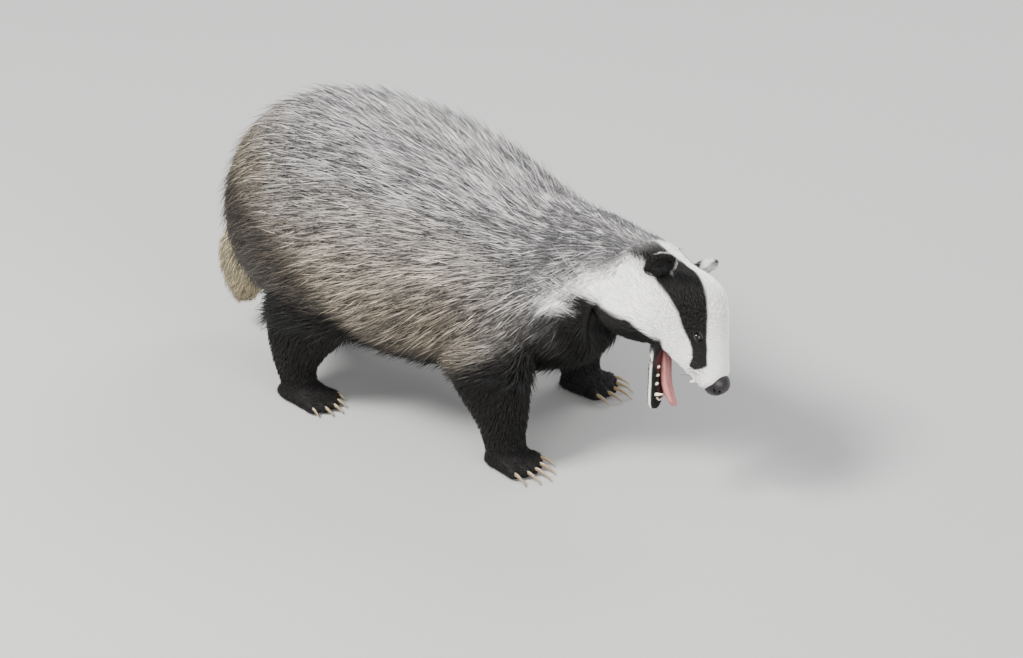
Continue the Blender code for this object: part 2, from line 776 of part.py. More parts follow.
def head():
    body = head_form("head", HEAD)
    combine(body, [lid_form(-1), lid_form(1)])
    combine(body, [mouth_hollow()], "DIFFERENCE")
    teeth = []
    down = turn_head((-0.05, 0.0, -1.0)).normalized()
    for side in (-1, 1):
        teeth.append(tooth(on_head(0.112, side * 0.0118, -0.0170), down, 0.0130, 0.0024))
        for step in range(3):
            x = 0.100 - 0.0095 * step
            teeth.append(tooth(on_head(x, side * (0.0150 + 0.0021 * step), -0.0195 - 0.0021 * step),
                               down, 0.0065, 0.0030))
    combine(body, teeth)
    cutters = [nose_form("cut", GAP), jaw_form("cut", GAP)]
    for side in (-1, 1):
        cutters.append(eye_form("cut", side, GAP))
        cutters.append(ear_form("cut", side, GAP))
    combine(body, cutters, "DIFFERENCE")
    return dress(keep_largest(body), "white")


def lower_jaw():
    body = jaw_form("lower_jaw", 0.0)
    rings = []
    for along, width in ((0.030, 0.0190), (0.050, 0.0160), (0.066, 0.0110), (0.076, 0.0060)):
        rings.append(oval(on_jaw(along, 0, 0.0110), HEAD_LEFT, turn_head(JAW_UP), width, 0.006, 0.0095, 12))
    combine(body, [loft("trough", rings)], "DIFFERENCE")
    teeth = []
    up = turn_head(JAW_UP)
    for side in (-1, 1):
        teeth.append(tooth(on_jaw(0.0700, side * 0.0105, 0.0030), up, 0.0130, 0.0023))
        for step in range(3):
            teeth.append(tooth(on_jaw(0.0600 - 0.0095 * step, side * (0.0140 + 0.0017 * step), 0.0040),
                               up, 0.0070, 0.0029))
    combine(body, teeth)
    combine(body, [tongue_form("cut", GAP)], "DIFFERENCE")
    return dress(keep_largest(body), "white")


def tongue():
    return dress(tongue_form("tongue", 0.0), "pink", 0.35)


def centre_on_floor(things):
    """Move the finished pieces so that the origin is on the floor under the middle of them all."""
    corners = np.array([thing.matrix_world @ vert.co for thing in things for vert in thing.data.vertices])
    low, high = corners.min(axis=0), corners.max(axis=0)
    shift = Matrix.Translation((-(low[0] + high[0]) / 2, -(low[1] + high[1]) / 2, -low[2]))
    for thing in things:
        thing.data.transform(shift)


def main():
    clear_scene()
    things = [torso(), neck(), head(), lower_jaw(), tongue(), nose(), tail()]
    for name, rows in LEGS.items():
        things.append(leg(name, rows))
    for name, side in (("right", -1), ("left", 1)):
        things.append(ear("ear_" + name, side))
        things.append(dress(eye_form("eye_" + name, side, 0.0), "black", 0.1))
    centre_on_floor(things)


main()
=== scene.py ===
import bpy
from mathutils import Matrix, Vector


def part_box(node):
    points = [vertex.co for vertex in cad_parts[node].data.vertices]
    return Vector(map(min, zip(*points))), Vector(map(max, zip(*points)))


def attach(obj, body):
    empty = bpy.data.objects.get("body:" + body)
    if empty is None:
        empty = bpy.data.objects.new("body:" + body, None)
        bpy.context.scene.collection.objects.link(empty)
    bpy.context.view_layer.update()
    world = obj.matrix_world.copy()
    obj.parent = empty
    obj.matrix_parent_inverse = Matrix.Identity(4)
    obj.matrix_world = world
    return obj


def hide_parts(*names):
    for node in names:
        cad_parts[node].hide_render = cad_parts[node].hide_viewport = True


bl_info = {
    "name": "European Badger",
    "version": (1, 0, 0),
    "blender": (4, 5, 0),
    "location": "3D View > Sidebar > Badger",
    "description": "Skin, coat, face and stage of a life-size european badger",
    "category": "Object",
}

import math

import bpy
import bmesh
import numpy as np
from bpy.props import FloatProperty, FloatVectorProperty, IntProperty, PointerProperty
from mathutils import Vector
from mathutils.bvhtree import BVHTree
from mathutils.kdtree import KDTree

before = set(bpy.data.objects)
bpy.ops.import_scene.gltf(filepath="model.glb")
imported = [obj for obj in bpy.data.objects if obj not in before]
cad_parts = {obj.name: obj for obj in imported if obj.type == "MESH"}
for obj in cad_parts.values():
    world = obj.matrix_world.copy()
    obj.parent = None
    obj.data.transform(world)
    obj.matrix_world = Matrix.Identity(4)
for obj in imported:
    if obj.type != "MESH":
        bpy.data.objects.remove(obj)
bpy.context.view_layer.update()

# Frame of the body and of the head, as on the solids

HEAD_PLACE = Vector((0.266, -0.014, 0.232))
HEAD_FORWARD = Vector((0.698, -0.305, -0.648)).normalized()
HEAD_UP = Vector((0.713, 0.380, 0.589))
HEAD_UP = (HEAD_UP - HEAD_FORWARD * HEAD_UP.dot(HEAD_FORWARD)).normalized()
HEAD_LEFT = HEAD_UP.cross(HEAD_FORWARD)
HEAD_AXES = np.array((HEAD_FORWARD, HEAD_LEFT, HEAD_UP))
# Angle of the open mouth, and the lower jaw's frame within the head's
GAPE = math.radians(38.0)
JAW_PLACE = Vector((0.045, 0.0, -0.022))
JAW_FORWARD = Vector((math.cos(GAPE), 0.0, -math.sin(GAPE)))
JAW_UP = Vector((math.sin(GAPE), 0.0, math.cos(GAPE)))
# Place along the head where the neck ends
NECK_BACK = -0.030

# Sections of the outer form

# Trunk and neck: x, y, z, turn towards the head from 0 to 1, half width, height above, depth below
TRUNK = (
    (-0.275, 0.0, 0.205, 0.0, 0.020, 0.020, 0.020),
    (-0.265, 0.0, 0.203, 0.0, 0.065, 0.065, 0.065),
    (-0.235, 0.0, 0.200, 0.0, 0.106, 0.104, 0.104),
    (-0.180, 0.0, 0.198, 0.0, 0.133, 0.128, 0.128),
    (-0.100, 0.0, 0.196, 0.0, 0.146, 0.133, 0.136),
    (-0.020, 0.0, 0.190, 0.0, 0.142, 0.127, 0.133),
    (0.050, 0.0, 0.187, 0.0, 0.123, 0.107, 0.125),
    (0.100, -0.002, 0.188, 0.0, 0.107, 0.090, 0.114),
    (0.135, -0.003, 0.191, 0.0, 0.095, 0.086, 0.108),
    (0.170, -0.004, 0.200, 0.08, 0.083, 0.079, 0.104),
    (0.204, -0.006, 0.216, 0.26, 0.072, 0.055, 0.100),
    (0.226, -0.007, 0.234, 0.55, 0.065, 0.038, 0.095),
)
# Head, in its own frame: place forward, half width, height above, depth below
HEAD = (
    (-0.030, 0.058, 0.0285, 0.084),
    (0.000, 0.060, 0.0365, 0.082),
    (0.020, 0.058, 0.0460, 0.074),
    (0.040, 0.053, 0.0520, 0.058),
    (0.057, 0.044, 0.0485, 0.044),
    (0.072, 0.0360, 0.0415, 0.0365),
    (0.086, 0.0305, 0.0340, 0.031),
    (0.100, 0.0268, 0.0265, 0.0255),
    (0.114, 0.0225, 0.0195, 0.0200),
    (0.124, 0.0185, 0.0130, 0.0155),
    (0.129, 0.0120, 0.0080, 0.0110),
)
# How much the upper half of a section narrows towards its top
HEAD_EGG = 0.25
# Lower jaw: place along it, half width, height above, depth below
JAW = (
    (0.000, 0.0240, 0.0065, 0.0110),
    (0.020, 0.0255, 0.0062, 0.0110),
    (0.040, 0.0235, 0.0058, 0.0100),
    (0.058, 0.0185, 0.0052, 0.0088),
    (0.072, 0.0145, 0.0045, 0.0080),
    (0.082, 0.0105, 0.0038, 0.0065),
    (0.087, 0.0060, 0.0020, 0.0030),
)
# Tongue: place along the jaw, to the left and above it, half width, half thickness
TONGUE = (
    (0.014, 0.000, 0.0030, 0.0090, 0.0025),
    (0.035, 0.000, 0.0065, 0.0105, 0.0030),
    (0.055, 0.001, 0.0105, 0.0100, 0.0028),
    (0.068, 0.002, 0.0160, 0.0090, 0.0024),
    (0.077, 0.003, 0.0205, 0.0070, 0.0018),
    (0.081, 0.004, 0.0215, 0.0030, 0.0010),
)
# Tail: x, y, z, radius
TAIL = (
    (-0.232, 0.000, 0.176, 0.016),
    (-0.254, 0.000, 0.158, 0.020),
    (-0.272, -0.002, 0.136, 0.026),
    (-0.284, -0.004, 0.112, 0.033),
    (-0.290, -0.005, 0.087, 0.034),
    (-0.293, -0.005, 0.062, 0.025),
    (-0.294, -0.005, 0.040, 0.006),
)
# Legs from the top down: x, y, z, half depth from front to back, half width
LEGS = {
    "foreleg_right": ((0.088, -0.066, 0.160, 0.036, 0.030), (0.086, -0.084, 0.125, 0.052, 0.034),
                      (0.097, -0.094, 0.090, 0.046, 0.033), (0.111, -0.098, 0.058, 0.031, 0.028),
                      (0.116, -0.099, 0.034, 0.025, 0.024), (0.120, -0.100, 0.014, 0.024, 0.022)),
    "foreleg_left": ((0.078, 0.058, 0.160, 0.036, 0.030), (0.074, 0.070, 0.125, 0.052, 0.034),
                     (0.085, 0.078, 0.090, 0.046, 0.033), (0.097, 0.082, 0.058, 0.031, 0.028),
                     (0.101, 0.083, 0.034, 0.025, 0.024), (0.105, 0.084, 0.014, 0.024, 0.022)),
    "hindleg_right": ((-0.130, -0.068, 0.160, 0.050, 0.030), (-0.134, -0.088, 0.125, 0.058, 0.036),
                      (-0.142, -0.098, 0.092, 0.050, 0.034), (-0.152, -0.101, 0.062, 0.034, 0.028),
                      (-0.156, -0.102, 0.036, 0.024, 0.022), (-0.150, -0.103, 0.014, 0.022, 0.020)),
    "hindleg_left": ((-0.152, 0.068, 0.160, 0.050, 0.030), (-0.156, 0.084, 0.125, 0.058, 0.036),
                     (-0.166, 0.093, 0.092, 0.050, 0.034), (-0.178, 0.096, 0.062, 0.034, 0.028),
                     (-0.184, 0.097, 0.036, 0.024, 0.022), (-0.178, 0.098, 0.014, 0.022, 0.020)),
}
# Feet: half width, reach from heel to toes, height, length of the middle claw
FOREFOOT = (0.025, 0.066, 0.026, 0.027)
HINDFOOT = (0.023, 0.080, 0.024, 0.017)
# Sections of a foot: place from heel to toes, share of its width, share of its height
FOOT_SECTIONS = ((0.0, 0.42, 0.42), (0.14, 0.74, 0.86), (0.50, 0.94, 0.96), (0.86, 0.88, 0.52))
TOES = 5
# How low the soles, the toes, the claws and the middle of the tufts may come
SOLE, TOE_SOLE, CLAW_FLOOR, HAIR_FLOOR = 0.0012, 0.0015, 0.0004, 0.0022
# Half thickness of a claw at its root
CLAW_THICK = 0.0026
# Nose pad, left eye and left ear in the head's frame: place, size and direction
NOSE_PLACE = Vector((0.1245, 0.0, -0.0005))
NOSE_SIZE = Vector((0.0130, 0.0165, 0.0145))
EYE_PLACE = Vector((0.0760, 0.0248, 0.0122))
EYE_RADIUS = 0.0055
EYE_LOOK = Vector((0.35, 0.85, 0.38)).normalized()
EAR_PLACE = Vector((-0.004, 0.0600, 0.0235))
EAR_SIZE = Vector((0.0065, 0.0165, 0.0175))
EAR_TIP = Vector((-0.15, 0.60, 0.78)).normalized()
EAR_OPENING = Vector((0.80, 0.58, 0.10)).normalized()

# How far the top is lowered where head and neck meet
NAPE_SINK = 0.0045
# Depth of the skin under the hair where neck and head meet, and in the middle of the tail
NAPE_DEPTH, TAIL_DEPTH = 0.0036, 0.012
# Depth of the lower jaw's skin as a share of the muzzle's
JAW_DEPTH = 0.6
# Ear: depth of its skin under the hair, then size and place of its hollow and of its foot
EAR_DEPTH = 0.0006
EAR_HOLLOW, EAR_HOLLOW_AHEAD, EAR_HOLLOW_UP = (0.0075, 0.0120, 0.0128), 0.0052, 0.0032
EAR_FOOT, EAR_FOOT_BACK, EAR_FOOT_DOWN = (0.0085, 0.0135, 0.0110), 0.0075, 0.0165
# Gap round an eyeball, and between it and its lids
SOCKET_GAP, LID_GAP = 0.0005, 0.0006
# Half length and half height of the opening of the lids, and half width and thickness of their rim
LID_OPENING, LID_RIM = (0.0060, 0.0039), (0.0016, 0.0009)
# Size of the squares that even out the skin, and rounds of smoothing: nape, body, head
NAPE_EVEN, BODY_EVEN, HEAD_EVEN = (0.0035, 50), (0.0023, 8), (0.0011, 3)
# Fewest points of a skin that is fine enough to carry the coat, and the share of the coat's colour it keeps
# under the hair, the rest taken off as painted shade
SKIN_POINTS, SKIN_PAINTED_SHADE = 50000, 0.7

# Size of each tuft's patch on the map
PATCH = 0.003
# Most triangles in one piece of the coat
PIECE_LIMIT = 195000

# Helpers

def linear(code):
    """A hex colour as linear light."""
    values = [int(code[i:i + 2], 16) / 255 for i in (1, 3, 5)]
    return tuple(v / 12.92 if v <= 0.04045 else ((v + 0.055) / 1.055) ** 2.4 for v in values)


def colour(code, name, description):
    """A colour that the user may change."""
    return FloatVectorProperty(name=name, description=description, subtype="COLOR", size=3,
                               min=0.0, max=1.0, default=linear(code))


def length(metres, name, description):
    """A length that the user may change."""
    return FloatProperty(name=name, description=description, subtype="DISTANCE", unit="LENGTH",
                         default=metres)


def on_head(x, y, z):
    """A point of the head's frame in the body's frame."""
    return HEAD_PLACE + HEAD_FORWARD * x + HEAD_LEFT * y + HEAD_UP * z


def turn_head(direction):
    """A direction of the head's frame in the body's frame."""
    return HEAD_FORWARD * direction[0] + HEAD_LEFT * direction[1] + HEAD_UP * direction[2]


def on_jaw(along, left, above):
    """A point of the lower jaw's frame in the body's frame."""
    point = JAW_PLACE + JAW_FORWARD * along + JAW_UP * above
    return on_head(point.x, left, point.z)


def packed_shift():
    """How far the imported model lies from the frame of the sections."""
    low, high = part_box("eye_right")
    middle = (Vector(low) + Vector(high)) / 2
    return Vector(((middle - on_head(EYE_PLACE.x, -EYE_PLACE.y, EYE_PLACE.z)).x, 0.0, 0.0))


SHIFT = packed_shift()


def ramp(value, low, high):
    """Smooth step from 0 at low to 1 at high; low may be the larger."""
    part = np.clip((np.asarray(value, float) - low) / (high - low), 0.0, 1.0)
    return part * part * (3 - 2 * part)


def mix(first, second, amount):
    """From the first value at 0 to the second at 1."""
    return first + (second - first) * amount


def unit(vectors):
    """Vectors of length 1 in the same directions."""
    return vectors / np.maximum(np.linalg.norm(vectors, axis=-1, keepdims=True), 1e-9)


def rows_at(rows, places):
    """Rows at places counted in rows, on a smooth curve through all of them."""
    rows = np.array(rows, float)
    last = len(rows) - 1
    places = np.clip(places, 0, last)
    index = np.minimum(places.astype(int), last - 1)
    part = (places - index)[:, None]
    before, here, there, after = (rows[np.clip(index + step, 0, last)] for step in (-1, 0, 1, 2))
    return 0.5 * (2 * here + (there - before) * part
                  + (2 * before - 5 * here + 4 * there - after) * part ** 2
                  + (3 * here - before - 3 * there + after) * part ** 3)


def columns_at(rows, places, columns, key=0):
    """Columns of a table at places of its key column, which rises or falls all the way."""
    table = np.array(rows)
    if table[0, key] > table[-1, key]:
        table = table[::-1]
    return [np.interp(places, table[:, key], table[:, column]) for column in columns]


def ovals(centres, sides, ups, width, top, bottom, points, egg=0.0):
    """Rings of points, one for each centre."""
    angles = 2 * np.pi * np.arange(points) / points
    rise = np.sin(angles)[None, :]
    narrowed = 1 - np.asarray(egg) * np.maximum(rise, 0) * 0.5
    across = np.asarray(width)[:, None] * np.cos(angles)[None, :] * narrowed
    height = rise * np.where(rise > 0, np.asarray(top)[:, None], np.asarray(bottom)[:, None])
    return centres[:, None, :] + sides[:, None, :] * across[..., None] + ups[:, None, :] * height[..., None]


def head_ovals(centres, up, width, top, bottom, points, egg=0.0):
    """Rings of points that stand across the head, one for each centre."""
    count = len(centres)
    sides, ups = np.tile(HEAD_AXES[1], (count, 1)), np.tile(up, (count, 1))
    return ovals(centres, sides, ups, width, top, bottom, points, egg)


def tube(rings):
    """Points and faces of a closed form through rings of points."""
    count, around, _ = rings.shape
    points = np.vstack((rings.reshape(-1, 3), rings[0].mean(axis=0), rings[-1].mean(axis=0)))
    faces = []
    for ring in range(count - 1):
        low, high = ring * around, (ring + 1) * around
        for k in range(around):
            nxt = (k + 1) % around
            faces.append((low + k, low + nxt, high + nxt, high + k))
    start, stop = count * around, count * around + 1
    for k in range(around):
        nxt = (k + 1) % around
        faces.append((nxt, k, start))
        faces.append(((count - 1) * around + k, (count - 1) * around + nxt, stop))
    return points, faces


def ball(centre, axes, radii, around=48, rows=32):
    """Points and faces of an ellipsoid whose axes are the three given directions."""
    polar = np.pi * (np.arange(rows) + 0.5) / rows
    angles = 2 * np.pi * np.arange(around) / around
    local = np.stack((np.cos(polar)[:, None] * np.ones(around), np.sin(polar)[:, None] * np.cos(angles),
                      np.sin(polar)[:, None] * np.sin(angles)), axis=-1) * np.array(radii)
    return tube(np.array(centre) + local @ np.array(axes))


def new_object(name, points, faces):
    """A smooth mesh object in the model's frame, its faces turned outwards."""
    mesh = bpy.data.meshes.new(name)
    places = (np.asarray(points) + np.array(SHIFT)).tolist()
    mesh.from_pydata(places, [], [tuple(face) for face in faces])
    builder = bmesh.new()
    builder.from_mesh(mesh)
    bmesh.ops.recalc_face_normals(builder, faces=builder.faces)
    builder.to_mesh(mesh)
    builder.free()
    mesh.shade_smooth()
    thing = bpy.data.objects.new(name, mesh)
    bpy.context.scene.collection.objects.link(thing)
    return thing


def applied(thing):
    """The object with its modifiers applied."""
    graph = bpy.context.evaluated_depsgraph_get()
    mesh = bpy.data.meshes.new_from_object(thing.evaluated_get(graph))
    old = thing.data
    thing.modifiers.clear()
    thing.data = mesh
    bpy.data.meshes.remove(old)
    return thing


def cut_away(thing, cutters):
    """Take the cutters' forms out of the object, and remove the cutters."""
    for cutter in cutters:
        modifier = thing.modifiers.new("cut", "BOOLEAN")
        modifier.operation = "DIFFERENCE"
        modifier.solver = "EXACT"
        modifier.object = cutter
    applied(thing)
    for cutter in cutters:
        bpy.data.objects.remove(cutter, do_unlink=True)
    return thing


def joined(things, name):
    """One object from several."""
    first = things[0]
    builder = bmesh.new()
    for thing in things:
        builder.from_mesh(thing.data)
    builder.to_mesh(first.data)
    builder.free()
    for thing in things[1:]:
        bpy.data.objects.remove(thing, do_unlink=True)
    first.name = name
    return first


def remeshed(thing, voxel, rounds):
    """One even surface over all that the object holds, smoothed."""
    remesh = thing.modifiers.new("even", "REMESH")
    remesh.mode = "VOXEL"
    remesh.voxel_size = voxel
    remesh.use_smooth_shade = True
    smooth = thing.modifiers.new("smooth", "SMOOTH")
    smooth.factor = 0.5
    smooth.iterations = rounds
    return applied(thing)


def mesh_arrays(mesh):
    """Points, normals, triangles and the triangles' map corners of a mesh, in the frame of the sections."""
    points = np.empty(len(mesh.vertices) * 3, np.float32)
    mesh.vertices.foreach_get("co", points)
    normals = np.empty(len(mesh.vertices) * 3, np.float32)
    mesh.vertices.foreach_get("normal", normals)
    mesh.calc_loop_triangles()
    corners = np.empty(len(mesh.loop_triangles) * 3, np.int32)
    mesh.loop_triangles.foreach_get("vertices", corners)
    loops = np.empty(len(mesh.loop_triangles) * 3, np.int32)
    mesh.loop_triangles.foreach_get("loops", loops)
    places = np.empty(len(mesh.loops) * 2, np.float32)
    mesh.uv_layers["OFBake"].data.foreach_get("uv", places)
    return (points.reshape(-1, 3) - np.array(SHIFT), normals.reshape(-1, 3), corners.reshape(-1, 3),
            places.reshape(-1, 2)[loops].reshape(-1, 3, 2))


def paint(mesh, colours):
    """Store a colour for each vertex."""
    layer = mesh.color_attributes.new("coat_colour", "FLOAT_COLOR", "POINT")
    values = np.ones((len(mesh.vertices), 4), np.float32)
    values[:, :3] = colours
    layer.data.foreach_set("color", values.ravel())


def stands_in(thing, slot, *nodes):
    """The piece rides on the body and stands for the nodes; the slot is not used."""
    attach(thing, "root")
    if nodes:
        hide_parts(*nodes)


# Forms of the flesh

def spine_rows():
    """Sections from the rump to the back of the head."""
    middle = on_head(NECK_BACK, 0.0, 0.0)
    return (*TRUNK, (*middle, 1.0, *HEAD[0][1:]))


# Places along the spine, counted in sections, where the neck starts and ends
NECK_START = len(TRUNK) - 4
NECK_END = len(TRUNK)


def spine_frames(places):
    """Rows, sides and ups of the sections at places along the spine."""
    rows = rows_at(spine_rows(), np.asarray(places, float))
    turn = np.clip(rows[:, 3:4], 0.0, 1.0)
    ups = unit((1 - turn) * np.array((0.0, 0.0, 1.0)) + turn * HEAD_AXES[2])
    sides = (1 - turn) * np.array((0.0, 1.0, 0.0)) + turn * HEAD_AXES[1]
    return rows, unit(sides - ups * (sides * ups).sum(axis=1, keepdims=True)), ups, turn


def trunk_form(coat_depth):
    """Trunk and neck under the coat."""
    places = np.linspace(0.0, NECK_END, 90)
    rows, sides, ups, turn = spine_frames(places)
    inset = mix(coat_depth, NAPE_DEPTH, ramp(places, NECK_START, NECK_END - 0.3))
    width, top, bottom = (np.maximum(rows[:, k] - inset, 0.004) for k in (4, 5, 6))
    top = top - NAPE_SINK * ramp(places, NECK_START + 2.0, NECK_END - 0.5)
    rings = ovals(rows[:, :3], sides, ups, width, top, bottom, 72, HEAD_EGG * turn)
    rings[0, :, 0] += coat_depth
    return tube(rings)


def tail_form(coat_depth):
    """Root and bone of the tail under its long hair."""
    places = np.linspace(0.0, len(TAIL) - 1.5, 40)
    rows = rows_at(TAIL, places)
    ahead = unit(rows_at(TAIL, places - 0.1)[:, :3] - rows_at(TAIL, places + 0.1)[:, :3] + 1e-9)
    side = np.tile((0.0, 1.0, 0.0), (len(places), 1))
    radius = np.maximum(rows[:, 3] - coat_depth * ramp(places, 0.6, 2.0), 0.005)
    radius *= 1 - 0.45 * ramp(places, 2.5, 5.0)
    return tube(ovals(rows[:, :3], side, np.cross(ahead, side), radius, radius, radius, 32))


def leg_form(rows, coat_depth):
    """A leg under its coat, down to the ankle."""
    rows = rows_at(rows, np.linspace(0.0, len(rows) - 1, 30))
    count = len(rows)
    depth = coat_depth * (1 - 0.6 * np.linspace(0.0, 1.0, count))
    sides, fronts = np.tile((0.0, 1.0, 0.0), (count, 1)), np.tile((1.0, 0.0, 0.0), (count, 1))
    return tube(ovals(rows[:, :3], sides, fronts, rows[:, 4] - depth, rows[:, 3] - depth,
                      rows[:, 3] - depth, 40))


def foot_layout(name):
    """Heading, side, heel and sizes of a foot, and for each toe its middle, direction, size and claw."""
    rows = LEGS[name]
    half, reach, height, claw = FOREFOOT if name.startswith("fore") else HINDFOOT
    heading = Vector((1.0, -0.10 if name.endswith("right") else 0.10, 0.0)).normalized()
    side = Vector((-heading.y, heading.x, 0.0))
    heel = Vector((rows[-1][0], rows[-1][1], 0.0)) - heading * 0.36 * reach
    toes = []
    for toe in range(TOES):
        out = (toe - (TOES - 1) / 2) / ((TOES - 1) / 2)
        turned = (heading + side * out * 0.22).normalized()
        middle = heel + heading * reach * (0.86 - 0.16 * out * out) + side * out * half * 0.84
        middle.z = height * 0.24
        size = Vector((reach * 0.15, half * 0.185, height * 0.34))
        toes.append((middle, turned, size, claw * (1.0 - 0.18 * abs(out))))
    return heading, side, heel, (half, reach, height), toes


def foot_forms(name):
    """The sole and back of a foot, and its toes."""
    heading, side, heel, (half, reach, height), toes = foot_layout(name)
    up = (0.0, 0.0, 1.0)
    rings = []
    for part, wide, tall in FOOT_SECTIONS:
        middle = np.array([heel + heading * reach * part])
        ring = ovals(middle, np.array([side]), np.array([up]), [half * wide], [1.0], [1.0], 24)[0]
        ring[:, 2] = np.maximum(height * tall * (0.35 + 0.65 * ring[:, 2]), SOLE)
        rings.append(ring)
    forms = [tube(np.array(rings))]
    for middle, turned, size, _ in toes:
        axes = (turned, (-turned.y, turned.x, 0.0), up)
        points, faces = ball(middle, axes, (size.x, size.y, size.z), 16, 12)
        points[:, 2] = np.maximum(points[:, 2], TOE_SOLE)
        forms.append((points, faces))
    return forms


def head_form(coat_depth, muzzle_depth, last=len(HEAD) - 1):
    """The head under its coat, up to the last section asked for."""
    rows = rows_at(HEAD, np.linspace(0.0, last, 70))
    depth = mix(coat_depth, muzzle_depth, ramp(rows[:, 0], 0.05, 0.11))
    centres = np.array(HEAD_PLACE) + rows[:, :1] * HEAD_AXES[0]
    width, top, bottom = (np.maximum(rows[:, k] - depth, 0.003) for k in (1, 2, 3))
    top = top - NAPE_SINK * ramp(rows[:, 0], 0.025, -0.015)
    rings = head_ovals(centres, HEAD_AXES[2], width, top, bottom, 80, HEAD_EGG)
    nape = mix(rings[0], centres[0], 0.30) - HEAD_AXES[0] * 0.008
    return tube(np.concatenate((nape[None], rings)))


def jaw_form(coat_depth):
    """The lower jaw under its coat."""
    rows = rows_at(JAW, np.linspace(0.0, len(JAW) - 1, 40))
    centres = np.array([on_jaw(along, 0.0, 0.0) for along in rows[:, 0]])
    width, above, below = (np.maximum(rows[:, k] - coat_depth, 0.0015) for k in (1, 2, 3))
    return tube(head_ovals(centres, np.array(turn_head(JAW_UP)), width, above, below, 48))


def eye_middle(side):
    """Middle of an eyeball: side is -1 on the right and 1 on the left."""
    return on_head(EYE_PLACE.x, side * EYE_PLACE.y, EYE_PLACE.z)


def ear_frame(side):
    """Middle of an ear, and its axes: through the opening, across, up to the tip."""
    tip = np.array(turn_head((EAR_TIP.x, side * EAR_TIP.y, EAR_TIP.z)))
    opening = np.array(turn_head((EAR_OPENING.x, side * EAR_OPENING.y, EAR_OPENING.z)))
    opening = unit(opening - tip * (tip @ opening))
    middle = np.array(on_head(EAR_PLACE.x, side * EAR_PLACE.y, EAR_PLACE.z))
    return middle, np.array((opening, np.cross(tip, opening), tip))


# Hollow under the palate, in the head's frame: place forward, half width, roof, floor
PALATE = (
    (0.052, 0.0140, -0.0220, -0.060),
    (0.075, 0.0215, -0.0225, -0.060),
    (0.098, 0.0180, -0.0165, -0.045),
    (0.113, 0.0130, -0.0110, -0.035),
    (0.120, 0.0070, -0.0090, -0.030),
)
# Trough of the lower jaw: place along the jaw, half width
TROUGH = ((0.020, 0.0185), (0.030, 0.0190), (0.050, 0.0160), (0.066, 0.0110), (0.076, 0.0060))
TROUGH_ABOVE, TROUGH_TOP, TROUGH_DEEP = 0.0110, 0.0060, 0.0095
# Canine teeth: in the upper jaw or not, place on the left side, length, half thickness at the root
CANINES = (
    (True, (0.1120, 0.0108, -0.0150), 0.0085, 0.0019),
    (False, (0.0715, 0.0100, 0.0010), 0.0105, 0.0020),
)
# Rows of teeth: in the upper jaw or not, place of the first, step to the next, length, half thickness
TOOTH_ROWS = (
    (True, (0.119, 0.0018, -0.0105), (0.0, 0.0034, -0.0012), 0.0042, 0.0013),
    (False, (0.0775, 0.0015, 0.0015), (-0.001, 0.0026, 0.0), 0.0038, 0.0011),
    (True, (0.1010, 0.0140, -0.0178), (-0.0090, 0.0020, -0.0020), 0.0034, 0.0024),
    (False, (0.0600, 0.0128, 0.0015), (-0.0090, 0.0016, 0.0), 0.0042, 0.0024),
)
TEETH_IN_ROW = 3
# How far round these hollows the skin counts as lining, and as lip
LINING_MARGIN, LIP_MARGIN = 0.0010, 0.0028


def palate_form():
    """The hollow of the mouth under the palate."""
    rows = rows_at(PALATE, np.linspace(0.0, len(PALATE) - 1, 24))
    middle = (rows[:, 2] + rows[:, 3]) / 2
    centres = np.array(HEAD_PLACE) + rows[:, :1] * HEAD_AXES[0] + middle[:, None] * HEAD_AXES[2]
    tall = rows[:, 2] - middle
    return tube(head_ovals(centres, HEAD_AXES[2], rows[:, 1], tall, tall, 40))


def trough_form():
    """The hollow of the lower jaw, in which the tongue lies."""
    rows = rows_at(TROUGH, np.linspace(0.0, len(TROUGH) - 1, 20))
    centres = np.array([on_jaw(along, 0.0, TROUGH_ABOVE) for along in rows[:, 0]])
    above, below = np.full(len(rows), TROUGH_TOP), np.full(len(rows), TROUGH_DEEP)
    return tube(head_ovals(centres, np.array(turn_head(JAW_UP)), rows[:, 1], above, below, 32))


# Where things are on the body

def spine_places(points):
    """Place along the spine, and how far across and up from it, of each point."""
    places = np.linspace(0.0, NECK_END, 160)
    rows, sides, ups, _ = spine_frames(places)
    nearest = np.empty(len(points), int)
    batch = 20000
    for start in range(0, len(points), batch):
        part = points[start:start + batch, None, :] - rows[None, :, :3]
        nearest[start:start + batch] = (part ** 2).sum(axis=2).argmin(axis=1)
    off = points - rows[nearest, :3]
    return places[nearest], (off * sides[nearest]).sum(axis=1), (off * ups[nearest]).sum(axis=1)


def head_places(points):
    """Points in the head's frame."""
    return (points - np.array(HEAD_PLACE)) @ HEAD_AXES.T


def on_leg(points):
    """1 on the legs and feet, 0 elsewhere."""
    found = np.zeros(len(points))
    for rows in LEGS.values():
        x, y, reach, half = columns_at(rows, points[:, 2], (0, 1, 3, 4), key=2)
        out = np.hypot((points[:, 0] - x) / reach, (points[:, 1] - y) / half)
        found = np.maximum(found, ramp(out, 1.5, 1.15) * ramp(points[:, 2], 0.128, 0.096))
    return np.maximum(found, ramp(points[:, 2], 0.034, 0.028))


def on_tail(points):
    """1 on the tail, 0 elsewhere."""
    x, y, radius = columns_at(TAIL, points[:, 2], (0, 1, 3), key=2)
    out = np.hypot(points[:, 0] - x, points[:, 1] - y) / np.maximum(radius, 0.018)
    return ramp(out, 1.05, 0.85) * ramp(points[:, 2], 0.180, 0.160) * (points[:, 0] < -0.225)


def jaw_places(here):
    """How far along the lower jaw and above it each point of the head's frame lies."""
    off = here - np.array(JAW_PLACE)
    return off @ np.array(JAW_FORWARD), off @ np.array(JAW_UP)


